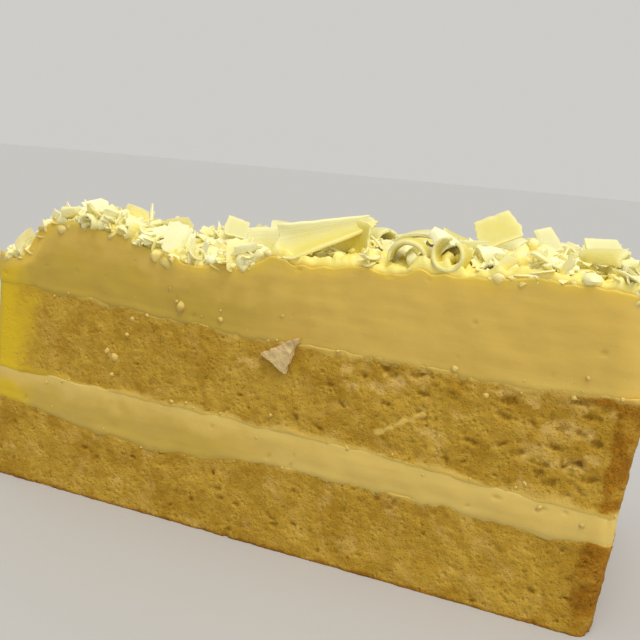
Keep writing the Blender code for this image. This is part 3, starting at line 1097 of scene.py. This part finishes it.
def chunk_shape(rng, size, subdivisions=1):
    """A chunk with a size across, broken off along a few planes and worn, as a closed bmesh."""
    planes = []
    for _ in range(LUMP_PLANES):
        way = Vector((rng.gauss(0, 1), rng.gauss(0, 1), rng.gauss(0, 1))).normalized()
        planes.append((way, rng.uniform(*LUMP_CUTS)))
    bm = bmesh.new()
    bmesh.ops.create_icosphere(bm, subdivisions=subdivisions, radius=1.0)
    for vert in bm.verts:
        way = vert.co.normalized()
        cut = sum(max(way.dot(side) / distance, 0.05) ** BLUNTNESS for side, distance in planes)
        vert.co = size * min(LUMP_REACH, cut ** (-1 / BLUNTNESS)) * way
    return bm


def turned(heading, lean, tilt):
    """The rotation for a heading, lean and tilt in degrees."""
    return Euler([math.radians(part) for part in (lean, tilt, heading)], "XYZ").to_matrix()


def set_down(mesh, rotation, place, level):
    """The matrix that turns a shape and puts its lowest point at a level over a place."""
    lowest = min((rotation @ vert.co).z for vert in mesh.vertices)
    return Matrix.Translation((place.x, place.y, level - lowest)) @ rotation.to_4x4()


def joined(name, placed):
    """One mesh of many small shapes, each with its matrix and its shade, coated with cream.

    Shapes get a painted highlight: they are paler where they stand up out of the heap.
    """
    bm = bmesh.new()
    shades = []
    for shape, matrix, shade in placed:
        copy = shape.copy()
        copy.transform(matrix)
        bm.from_mesh(copy)
        shades += [shade] * len(copy.vertices)
        bpy.data.meshes.remove(copy)
    mesh = bpy.data.meshes.new(name)
    bm.to_mesh(mesh)
    bm.free()
    # Painted highlight where a shape stands up out of the heap.
    for vert in mesh.vertices:
        above = (vert.co.z - core_top(*place_of(vert.co))) / MM
        shades[vert.index] *= 1 - TOP_HIGHLIGHT * ramp(above, TOP_HIGHLIGHT_HEIGHTS)
    coats = [cream_coat(vert.co) for vert in mesh.vertices]
    for tint, values in (("shade", shades), ("coat", coats)):
        mesh.attributes.new(tint, "FLOAT", "POINT").data.foreach_set("value", values)
    return mesh


def random_place(rng, reaches, turns):
    """A reach and turn at random, evenly strewn over a part of the top."""
    nearest, farthest = (TIP_SETBACK + FACE_LENGTH * reach for reach in reaches)
    distance = math.sqrt(blend(nearest**2, farthest**2, rng.random()))
    return (distance - TIP_SETBACK) / FACE_LENGTH, rng.uniform(*turns)


def hangs_over(shape, matrix):
    """Whether a shape would hang down over a cut face."""
    for vert in shape.vertices:
        spot = matrix @ vert.co
        reach, turn = place_of(spot)
        out = (spot - CAKE_CENTRE).dot(face_normal(turn))
        if out > OVERHANG and spot.z < cream_top(reach, turn) - OVERHANG:
            return True
    return False


def strewn(rng, shapes, count, reaches, turns, lean, over, shades):
    """Shapes strewn over the top, leaning by about an angle, some millimetres over the core."""
    placed = []
    for _ in range(count):
        reach, turn = random_place(rng, reaches, turns)
        shape = rng.choice(shapes)
        rotation = turned(rng.uniform(0, 360), rng.gauss(0, lean), rng.gauss(0, lean / 2))
        if rng.random() < 0.5:
            rotation = rotation @ turned(0, 180, 0)
        sunk = rng.random()
        lower = TIP_SINK * ease(1 - reach / TIP_SINK_REACH)
        level = core_top(reach, turn) + (blend(*over, 1 - sunk) - lower) * MM
        matrix = set_down(shape, rotation, plan_point(reach, turn), level)
        # Painted shade: deeper colour where a shape lies low and in the hollows.
        shade = rng.uniform(*shades) + LOW_SHADE * sunk**2 + HOLLOW_SHADE * hollow(reach, turn)
        if not in_clearing(reach, turn) and not hangs_over(shape, matrix):
            placed.append((shape, matrix, shade))
    return placed


def edging(rng, shapes, count, reaches, side, out, over, shades):
    """Shapes along the top edge of a cut face, some millimetres out from it and over the cream."""
    placed = []
    for _ in range(count):
        reach = rng.uniform(*reaches)
        shape = rng.choice(shapes)
        rotation = turned(rng.uniform(0, 360), rng.gauss(0, 50), rng.gauss(0, 30))
        place = plan_point(reach, side) + rng.uniform(*out) * MM * face_normal(side)
        sunk = rng.random()
        level = cream_top(reach, 0.9 * side) + blend(*over, 1 - sunk) * MM
        matrix = set_down(shape, rotation, place, level)
        # Painted shade: deeper colour where a shape lies low.
        shade = rng.uniform(*shades) + LOW_SHADE * sunk**2
        if not in_clearing(reach, side) and not hangs_over(shape, matrix):
            placed.append((shape, matrix, shade))
    return placed


# ---------------------------------------------------------------------------------------------
# Settings
# ---------------------------------------------------------------------------------------------


def colour_setting(name, description, default):
    return FloatVectorProperty(
        name=name, description=description, subtype="COLOR", min=0.0, max=1.0, default=default
    )


def length_setting(name, description, default):
    return FloatProperty(
        name=name, description=description, unit="LENGTH", min=0.0, default=default
    )


def count_setting(name, description, default):
    return IntProperty(name=name, description=description, min=0, soft_max=5000, default=default)


class SpongeSettings(bpy.types.PropertyGroup):
    """Colours of the two sponges."""

    crumb_light: colour_setting("Light crumb", "Palest colour of the cut crumb", (0.56, 0.35, 0.044))
    crumb_pale: colour_setting("Pale crumb", "Colour of pale patches of crumb", (0.7, 0.47, 0.13))
    crumb_dark: colour_setting("Dark crumb", "Deepest colour of the cut crumb", (0.41, 0.23, 0.017))
    # Painted shade inside the holes of the crumb.
    hole: colour_setting("Holes", "Colour inside the holes of the crumb", (0.34, 0.18, 0.013))
    crust_light: colour_setting("Light crust", "Palest colour of the crust", (0.41, 0.19, 0.01))
    crust_dark: colour_setting("Dark crust", "Deepest colour of the crust", (0.26, 0.11, 0.004))
    smear: colour_setting("Smears", "Colour of cream smeared on the crumb", (0.68, 0.47, 0.1))
    # Painted shade: the smears are darker near the tip.
    tip_shade_smear: colour_setting("Damp smears", "The same near the tip", (0.58, 0.37, 0.022))
    # Painted glow: the cream smeared on the tip, yellower where light shines through the thin slice.
    tip_glow_smear: colour_setting("Tip", "Colour of the cream smeared on the tip", (0.72, 0.5, 0.013))


class CreamSettings(bpy.types.PropertyGroup):
    """Colours of the two creams and of the dry flake."""

    top: colour_setting("Top cream", "Colour of the upper cream", (0.7, 0.48, 0.095))
    # Also the painted shade in the upper cream's pits.
    top_shade: colour_setting("Top shade", "Deeper tone of the upper cream", (0.62, 0.42, 0.073))
    # Painted shade: the upper cream is darker low down near the tip.
    top_tip_shade: colour_setting("Damp top cream", "Its colour low down near the tip", (0.53, 0.36, 0.048))
    # Painted glow: the upper cream's colour just under the shavings.
    top_painted_glow: colour_setting("Glow", "Its colour just under the shavings", (0.76, 0.53, 0.06))
    filling: colour_setting("Filling", "Colour of the lower cream", (0.72, 0.52, 0.13))
    # Also the painted shade in the filling's pits.
    filling_shade: colour_setting("Filling shade", "Its deeper tone", (0.66, 0.46, 0.1))
    # Painted shade: the filling is darker low down near the tip.
    filling_tip_shade: colour_setting("Damp filling", "Its colour near the tip", (0.59, 0.41, 0.073))
    # Painted glow of both creams at the tip, where light shines through the thin slice.
    tip: colour_setting("Tip", "Colour of both creams at the tip", (0.71, 0.49, 0.013))
    flake: colour_setting("Flake", "Colour of the dry flake on the front face", (0.72, 0.53, 0.24))


class ChocolateSettings(bpy.types.PropertyGroup):
    """Colours, sizes and numbers of the white chocolate shavings."""

    pale: colour_setting("Pale", "Colour of the palest fine shavings", (0.98, 0.95, 0.62))
    # The deep colours serve both as the shavings' deeper tone and as their painted shade.
    deep: colour_setting("Deep", "Colour of the deepest fine shavings", (0.97, 0.825, 0.21))
    large_pale: colour_setting("Large pale", "Palest large shavings", (0.75, 0.72, 0.36))
    large_deep: colour_setting("Large deep", "Deepest large shavings", (0.74, 0.635, 0.115))
    # Painted highlight on the rims of the shavings.
    rim: colour_setting("Rims", "Colour of the rims of the shavings", (0.98, 0.94, 0.53))
    coating: colour_setting("Coating", "Cream dragged over the shavings", (0.69, 0.52, 0.14))
    sheet: length_setting("Sheet", "Thickness of a large shaving at its middle", 1.15 * MM)
    thin_sheet: length_setting("Thin sheet", "Thickness of the small shavings", 0.72 * MM)
    curls: count_setting("Curls", "How many curls lie on the heap", 130)
    flakes: count_setting("Fine shavings", "How many fine shavings lie on the heap", 1100)
    lumps: count_setting("Lumps", "How many lumps lie on the heap", 420)
    crumbs: count_setting("Crumbs", "How many crumbs lie on the heap", 1700)


class StageSettings(bpy.types.PropertyGroup):
    """The floor and the lights."""

    floor: colour_setting("Floor", "Colour of the floor", (0.50, 0.495, 0.485))
    room: FloatProperty(name="Room", description="Strength of the room's light", default=0.62)
    key: FloatProperty(name="Key", description="Strength of the light overhead", default=1.75)
    fill: FloatProperty(name="Fill", description="Power of the light at the side", default=0.5)


# ---------------------------------------------------------------------------------------------
# Operators
# ---------------------------------------------------------------------------------------------


class AddSponges(bpy.types.Operator):
    """Make the two sponges, with their torn crumb and brown crust"""

    bl_idname = "cake.add_sponges"
    bl_label = "Sponges"

    def execute(self, context):
        settings = context.scene.cake_sponge
        lower = sponge_material("bottom_crumb", settings)
        upper = sponge_material("upper_crumb", settings)
        layers = (
            ("base_sponge", lower, 50, plate, base_top, BASE_SPONGE_RIM, base_sponge_wall),
            (
                "upper_sponge",
                upper,
                60,
                lowered(filling_top, OVERLAP),
                sponge_top,
                UPPER_SPONGE_RIM,
                upper_sponge_wall,
            ),
        )
        for *layer, wall in layers:
            add_layer(*layer, LOWER_CORNER, wall, SPONGE_TINTS)
        return {"FINISHED"}


class AddCreams(bpy.types.Operator):
    """Make the filling and the upper cream, cut smooth by the knife"""

    bl_idname = "cake.add_creams"
    bl_label = "Creams"

    def execute(self, context):
        settings = context.scene.cake_cream
        filling = cream_material(
            "filling_cream",
            settings.filling,
            settings.filling_shade,
            settings.filling_tip_shade,
            settings.tip,
            settings.filling,
        )
        top = cream_material(
            "upper_cream",
            settings.top,
            settings.top_shade,
            settings.top_tip_shade,
            settings.tip,
            settings.top_painted_glow,
        )
        under_filling, under_top = lowered(base_top, OVERLAP), lowered(sponge_top, OVERLAP)
        layers = (
            ("cream_filling", filling, 24, under_filling, filling_top, FILLING_RIM, LOWER_CORNER),
            ("top_cream", top, 46, under_top, cream_top, CREAM_RIM, TOP_CREAM_CORNER),
        )
        for layer in layers:
            add_layer(*layer, cream_wall, CREAM_TINTS)
        return {"FINISHED"}


class AddHeap(bpy.types.Operator):
    """Make the crumbly core of the heap of fine shavings"""

    bl_idname = "cake.add_heap"
    bl_label = "Heap"

    def execute(self, context):
        bm = block(HEAP_CUTS)
        shade = bm.verts.layers.float.new("shade")
        coat = bm.verts.layers.float.new("coat")
        for tint in SHEET_TINTS:
            bm.verts.layers.float.new(tint)
        for vert in bm.verts:
            reach, turn, share = blend(*HEAP_REACH, vert.co.x), 2 * vert.co.y - 1, vert.co.z
            spot = plan_point(reach, turn)
            point = spot / MM
            margin = HEAP_MARGIN * (1 + 0.8 * noise.noise(point / 2))
            edge = abs(plan_point(reach, 1.0).y)
            spot.y *= 1 - min(margin / edge, 0.5)
            warp = 0.5 * noise.noise_vector(point / 1.5)
            coarse, _ = noise.voronoi(point / 3.6 + warp)
            fine, _ = noise.voronoi(point / 1.5 + warp)
            lump = CORE_RELIEF[0] * (0.5 - coarse[0]) + CORE_RELIEF[1] * (0.45 - fine[0])
            lump += CORE_RELIEF[2] * noise.fractal(point / 0.8, 0.9, 2.0, 3)
            foot = cream_top(reach, turn) - CORE_FOOT
            head = max(core_top(reach, turn) + lump * MM, foot + CORE_THINNEST)
            spot.z = blend(foot, head, share)
            vert.co = spot
            # Painted shade: deeper colour low between the core's lumps and in the hollows.
            vert[shade] = clamp(0.9 - 0.5 * lump) + HOLLOW_SHADE * hollow(reach, turn)
            vert[coat] = cream_coat(spot)
        chocolate = fine_chocolate("packed_shavings", context.scene.cake_chocolate)
        mesh = finished(bm, "shaving_heap")
        add_piece("heap_core", mesh, chocolate, "fine_shavings", "shaving_heap")
        return {"FINISHED"}


class AddLargeShavings(bpy.types.Operator):
    """Make the large shavings, each in place of its solid"""

    bl_idname = "cake.add_large_shavings"
    bl_label = "Large shavings"

    def execute(self, context):
        settings = context.scene.cake_chocolate
        tones = settings.large_pale, settings.large_deep, settings.rim
        chocolate = chocolate_material("large_shaving", *tones, LARGE_HIGHLIGHT_SHARE, settings.coating)
        kinds = dict(SHAVINGS)
        for number in range(BACK_SHAVINGS):
            sheet = BACK_KINDS[number % len(BACK_KINDS)]
            lean = BACK_CHIP_LEAN if sheet[2] < CHIP_ROLL else 180
            turns = (BACK_HEADING_STEP * number, lean, BACK_TILT)
            kinds[f"shaving_back_{number + 1:02d}"] = (*turns, *sheet)
        for seed, (node, kind) in enumerate(kinds.items()):
            low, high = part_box(node)
            along, up = NUDGES.get(node, (0.0, 0.0))
            middle = (low + high) / 2 + Vector((along * MM, 0.0, 0.0))
            mesh = self.laid(kind, settings.sheet, seed, middle, low.z + up * MM)
            add_piece(f"{node}_curl", mesh, chocolate, "shaving", node)
        for name, (reach, turn, over, kind) in PROPPED_SHAVINGS.items():
            level = core_top(reach, turn) + over * MM
            mesh = self.laid(kind, settings.sheet, PROPPED_SEED, plan_point(reach, turn), level)
            add_piece(name, mesh, chocolate, "shaving")
        return {"FINISHED"}

    def laid(self, kind, sheet, seed, middle, level):
        """A shaving with its middle over a place and its lowest point at a level."""
        heading, lean, tilt, length, width, roll, taper, tone = kind
        ragged = CHIP_RAGGEDNESS if roll < CHIP_ROLL else CURL_RAGGEDNESS
        bm = shaving_shape(LARGE_CUTS, length * MM, width * MM, roll, taper, sheet, ragged, seed)
        bmesh.ops.transform(bm, matrix=turned(heading, lean, tilt).to_4x4(), verts=bm.verts)
        lowest = Vector([min(vert.co[axis] for vert in bm.verts) for axis in range(3)])
        highest = Vector([max(vert.co[axis] for vert in bm.verts) for axis in range(3)])
        shift = middle - (lowest + highest) / 2
        shift.z = level - lowest.z
        bmesh.ops.translate(bm, verts=bm.verts, vec=shift)
        scrape = bm.verts.layers.float[SHEET_TINTS[0]]
        shade, coat = (bm.verts.layers.float.new(tint) for tint in ("shade", "coat"))
        # Painted shade across a rolled shaving, deeper at one side.
        shade_drift = 0.0 if roll < CHIP_ROLL else SHADE_DRIFT / (width * MM)
        for vert in bm.verts:
            vert[shade] = tone - shade_drift * vert[scrape]
            vert[coat] = cream_coat(vert.co)
        return finished(bm, "large_shaving", 70)


class AddLooseShavings(bpy.types.Operator):
    """Strew curls, fine shavings, lumps and crumbs over the heap and along its edges"""

    bl_idname = "cake.add_loose_shavings"
    bl_label = "Loose shavings"

    def execute(self, context):
        settings = context.scene.cake_chocolate
        chocolate = fine_chocolate("loose_shavings", settings)
        makers = (self.curls, self.fine_shavings, self.lumps, self.crumbs)
        for seed, maker in enumerate(makers):
            placed = maker(random.Random(seed), settings)
            name = f"loose_{maker.__name__}"
            add_piece(name, joined(name, placed), chocolate, "fine_shavings")
            for shape in {id(item[0]): item[0] for item in placed}.values():
                bpy.data.meshes.remove(shape)
        return {"FINISHED"}

    def shapes(self, rng, kinds, cuts, lengths, widths, rolls, sheet, ragged):
        """Differing small shavings."""
        made = []
        for seed in range(kinds):
            length, width = rng.uniform(*lengths) * MM, rng.uniform(*widths) * MM
            roll, taper = rng.uniform(*rolls), rng.uniform(0, 0.5)
            bm = shaving_shape(cuts, length, width, roll, taper, sheet, ragged, seed + 50)
            made.append(finished(bm, "small_shaving", 60))
        return made

    def curls(self, rng, settings):
        """Curls of some millimetres, most of them in the half next to the rim."""
        sheet = settings.thin_sheet
        shapes = self.shapes(rng, 14, CURL_CUTS, (3.5, 8), (5, 10), (50, 250), sheet, 0.18)
        count = settings.curls
        placed = strewn(rng, shapes, count // 5, (0.16, 0.48), INNER, 15, (-2.6, -1.8), (0, 0.3))
        placed += strewn(rng, shapes, count // 2, (0.50, 0.97), INNER, 30, (-2.6, -1.0), (0, 0.6))
        return placed

    def fine_shavings(self, rng, settings):
        """Thin flakes up to six millimetres long."""
        sheet = 0.8 * settings.thin_sheet
        shapes = self.shapes(rng, 18, FINE_CUTS, (2, 6), (1.6, 4), (15, 110), sheet, 0.25)
        count = settings.flakes
        placed = strewn(rng, shapes, count, (0.04, 0.985), WHOLE, 22, (-0.9, 0.2), (0, 0.6))
        placed += strewn(rng, shapes, count // 14, (0.985, 0.998), WHOLE, 40, (-1.2, -0.4), (0, 0.6))
        for reaches, number in (((0.02, 0.52), count // 15), ((0.52, 0.98), count // 30)):
            for side in (-1, 1):
                placed += edging(rng, shapes, number, reaches, side, (-2.4, -0.9), (-0.8, 0.4), (0, 0.6))
        return placed

    def lumps(self, rng, settings):
        """Angular lumps of pressed shavings, most of them along the front edge."""
        shapes = [self.marked(chunk_shape(rng, rng.uniform(1.9, 4.0) * MM, 2)) for _ in range(24)]
        count = settings.lumps
        placed = strewn(rng, shapes, count // 2, (0.02, 0.97), WHOLE, 60, (-2.6, -1.2), (0, 0.5))
        placed += edging(rng, shapes, count // 3, (0.0, 0.52), -1, (-3.4, -1.0), (-2.4, -0.6), (0, 0.4))
        placed += strewn(rng, shapes, count // 12, (0.0, 0.12), WHOLE, 60, (-2.4, -0.8), (0, 0.4))
        placed += edging(rng, shapes, count // 6, (0.50, 0.97), -1, (-3.4, -1.0), (-2.6, -1.2), (0, 0.4))
        # Deep-coloured lumps behind the front curls, whose colour is painted shade.
        placed += strewn(rng, shapes, count // 6, (0.58, 0.84), (-0.9, -0.2), 60, (-1.8, -0.2), (0.5, 1))
        for reach, inward, over, size, tone in PLACED_LUMPS:
            shape = self.marked(chunk_shape(rng, size * MM, 2))
            place = plan_point(reach, -1) - inward * MM * face_normal(-1)
            level = cream_top(reach, -0.95) + over * MM
            placed.append((shape, set_down(shape, turned(0, 0, 0), place, level), tone))
        return placed

    def crumbs(self, rng, settings):
        """Crumbs of a millimetre or so."""
        shapes = [self.marked(chunk_shape(rng, rng.uniform(0.7, 1.9) * MM)) for _ in range(24)]
        count = settings.crumbs
        placed = strewn(rng, shapes, count, (0.01, 0.985), WHOLE, 60, (-0.4, 0.7), (0, 0.6))
        for reaches, number in (((0.0, 0.52), count // 12), ((0.52, 0.98), count // 12)):
            for side in (-1, 1):
                placed += edging(rng, shapes, number, reaches, side, (-1.6, -0.3), (-1.4, 0.4), (0, 0.5))
        return placed

    def marked(self, bm):
        """A lump's mesh, which has no scrape lines or rims but carries their numbers all the same."""
        for tint in SHEET_TINTS:
            bm.verts.layers.float.new(tint)
        return finished(bm, "lump", 60)


class AddFaceCrumbs(bpy.types.Operator):
    """Stick crumbs of sponge and cream on the walls of the slice"""

    bl_idname = "cake.add_face_crumbs"
    bl_label = "Crumbs on the faces"

    def execute(self, context):
        rng = random.Random(11)
        shapes = [finished(chunk_shape(rng, MM), "face_crumb") for _ in range(16)]
        placed = []
        for reach, height, size in FRONT_CRUMBS:
            placed.append(self.stuck(rng, shapes, reach, -1, height * MM, size))
        for _ in range(FACE_CRUMBS):
            reach, side = rng.uniform(0.03, 0.98), rng.choice((-1, 1))
            lines = (base_top(reach, side), filling_top(reach, side), sponge_top(reach, side))
            height = rng.gauss(rng.choice(lines), FACE_CRUMB_SPREAD)
            size = blend(0.3, 1.3, rng.random() ** 2.5)
            placed.append(self.stuck(rng, shapes, reach, side, max(height, 1 * MM), size))
        material = flake_material("face_crumbs", context.scene.cake_cream.filling)
        add_piece("face_crumbs", joined("face_crumbs", placed), material, "flake")
        for shape in shapes:
            bpy.data.meshes.remove(shape)
        return {"FINISHED"}

    def stuck(self, rng, shapes, reach, side, height, size):
        """A crumb of a size in millimetres, half sunk in a cut face."""
        place = plan_point(reach, side)
        place.z = height
        rotation = turned(rng.uniform(0, 360), rng.uniform(0, 360), rng.uniform(0, 360))
        stretch = [size * rng.uniform(0.5, 1.4) for _ in range(3)]
        matrix = Matrix.Translation(place) @ rotation.to_4x4() @ Matrix.Diagonal((*stretch, 1))
        return rng.choice(shapes), matrix, 0.0


class AddFlake(bpy.types.Operator):
    """Make the dry flake stuck on the front face"""

    bl_idname = "cake.add_flake"
    bl_label = "Flake"

    def execute(self, context):
        reach, height = FLAKE_PLACE
        bm = bmesh.new()
        corners = [bm.verts.new((across * MM, up * MM, 0.0)) for across, up in FLAKE_CORNERS]
        made = bmesh.ops.extrude_face_region(bm, geom=[bm.faces.new(corners)], use_keep_orig=True)
        front = [part for part in made["geom"] if isinstance(part, bmesh.types.BMVert)]
        bmesh.ops.translate(bm, verts=front, vec=(0.0, 0.0, FLAKE_THICKNESS))
        bmesh.ops.triangulate(bm, faces=bm.faces)
        for _ in range(2):
            bmesh.ops.subdivide_edges(bm, edges=bm.edges, cuts=2, use_grid_fill=True)
            bmesh.ops.smooth_vert(bm, verts=bm.verts, factor=0.5)
        bm.normal_update()
        for vert in bm.verts:
            point = vert.co / MM
            push = 0.30 * noise.noise(point / 1.3) + 0.20 * noise.noise(point / 0.5)
            vert.co += push * MM * vert.normal
        upright = Euler((math.pi / 2, 0.0, -HALF_TURN)).to_matrix().to_4x4()
        place = plan_point(reach, -1)
        place.z = height * MM
        bmesh.ops.transform(bm, matrix=Matrix.Translation(place) @ upright, verts=bm.verts)
        material = flake_material("dry_flake", context.scene.cake_cream.flake)
        add_piece("dry_flake", finished(bm, "dry_flake", 60), material, "flake", "face_flake")
        return {"FINISHED"}


class AddStage(bpy.types.Operator):
    """Set the pale floor, the soft lights and the camera"""

    bl_idname = "cake.add_stage"
    bl_label = "Stage"

    def execute(self, context):
        settings = context.scene.cake_stage
        self.add_floor(settings)
        key = bpy.data.lights.new("key", "SUN")
        key.energy, key.angle = settings.key, KEY_ANGLE
        self.add_light("key", key, KEY_PLACE)
        fill = bpy.data.lights.new("fill", "AREA")
        fill.energy, fill.size = settings.fill, FILL_SIZE
        self.add_light("fill", fill, FILL_PLACE)
        world = bpy.data.worlds.new("room")
        world.use_nodes = True
        backdrop = world.node_tree.nodes["Background"]
        backdrop.inputs["Color"].default_value = ROOM_COLOUR
        backdrop.inputs["Strength"].default_value = settings.room
        context.scene.world = world
        context.scene.view_settings.view_transform = "Standard"
        self.add_camera(context.scene)
        return {"FINISHED"}

    def add_floor(self, settings):
        bm = bmesh.new()
        bmesh.ops.create_circle(bm, cap_ends=True, segments=96, radius=FLOOR_RADIUS)
        mesh = finished(bm, "floor")
        mesh.materials.append(stage_material("floor", settings.floor, 0.6))
        floor = bpy.data.objects.new("floor", mesh)
        bpy.context.scene.collection.objects.link(floor)

    def add_light(self, name, lamp, place):
        """A light at a place, turned to the middle of the slice."""
        lamp.color = LAMP_COLOUR
        light = bpy.data.objects.new(name, lamp)
        light.location = place
        light.rotation_euler = (CAMERA_TARGET - light.location).to_track_quat("-Z", "Y").to_euler()
        bpy.context.scene.collection.objects.link(light)

    def add_camera(self, scene):
        lens = bpy.data.cameras.new("camera")
        lens.lens = CAMERA_LENS
        lens.sensor_width = 36.0
        lens.clip_start = 0.005
        camera = bpy.data.objects.new("camera", lens)
        aim = (CAMERA_TARGET - CAMERA_PLACE).to_track_quat("-Z", "Y").to_matrix().to_4x4()
        roll = Matrix.Rotation(CAMERA_ROLL, 4, "Z")
        camera.matrix_world = Matrix.Translation(CAMERA_PLACE) @ aim @ roll
        scene.collection.objects.link(camera)
        scene.camera = camera


class CakePanel(bpy.types.Panel):
    """The pieces of the slice"""

    bl_idname = "VIEW3D_PT_cake"
    bl_label = "Lemon layer cake"
    bl_space_type = "VIEW_3D"
    bl_region_type = "UI"
    bl_category = "Cake"

    def draw(self, context):
        scene = context.scene
        for settings in (scene.cake_sponge, scene.cake_cream, scene.cake_chocolate, scene.cake_stage):
            column = self.layout.column(align=True)
            for setting in settings.__annotations__:
                column.prop(settings, setting)
        for operator in OPERATORS:
            self.layout.operator(operator.bl_idname)


SETTINGS = {
    "cake_sponge": SpongeSettings,
    "cake_cream": CreamSettings,
    "cake_chocolate": ChocolateSettings,
    "cake_stage": StageSettings,
}
OPERATORS = (
    AddSponges,
    AddCreams,
    AddHeap,
    AddLargeShavings,
    AddLooseShavings,
    AddFaceCrumbs,
    AddFlake,
    AddStage,
)


def register():
    for group in SETTINGS.values():
        bpy.utils.register_class(group)
    for name, group in SETTINGS.items():
        setattr(bpy.types.Scene, name, PointerProperty(type=group))
    for item in (*OPERATORS, CakePanel):
        bpy.utils.register_class(item)


def unregister():
    for item in (CakePanel, *reversed(OPERATORS)):
        bpy.utils.unregister_class(item)
    for name in SETTINGS:
        delattr(bpy.types.Scene, name)
    for group in SETTINGS.values():
        bpy.utils.unregister_class(group)


def main():
    register()
    noise.seed_set(NOISE_SEED)
    bpy.ops.cake.add_sponges()
    bpy.ops.cake.add_creams()
    bpy.ops.cake.add_heap()
    bpy.ops.cake.add_large_shavings()
    bpy.ops.cake.add_loose_shavings()
    bpy.ops.cake.add_face_crumbs()
    bpy.ops.cake.add_flake()
    bpy.ops.cake.add_stage()


if __name__ == "__main__":
    main()
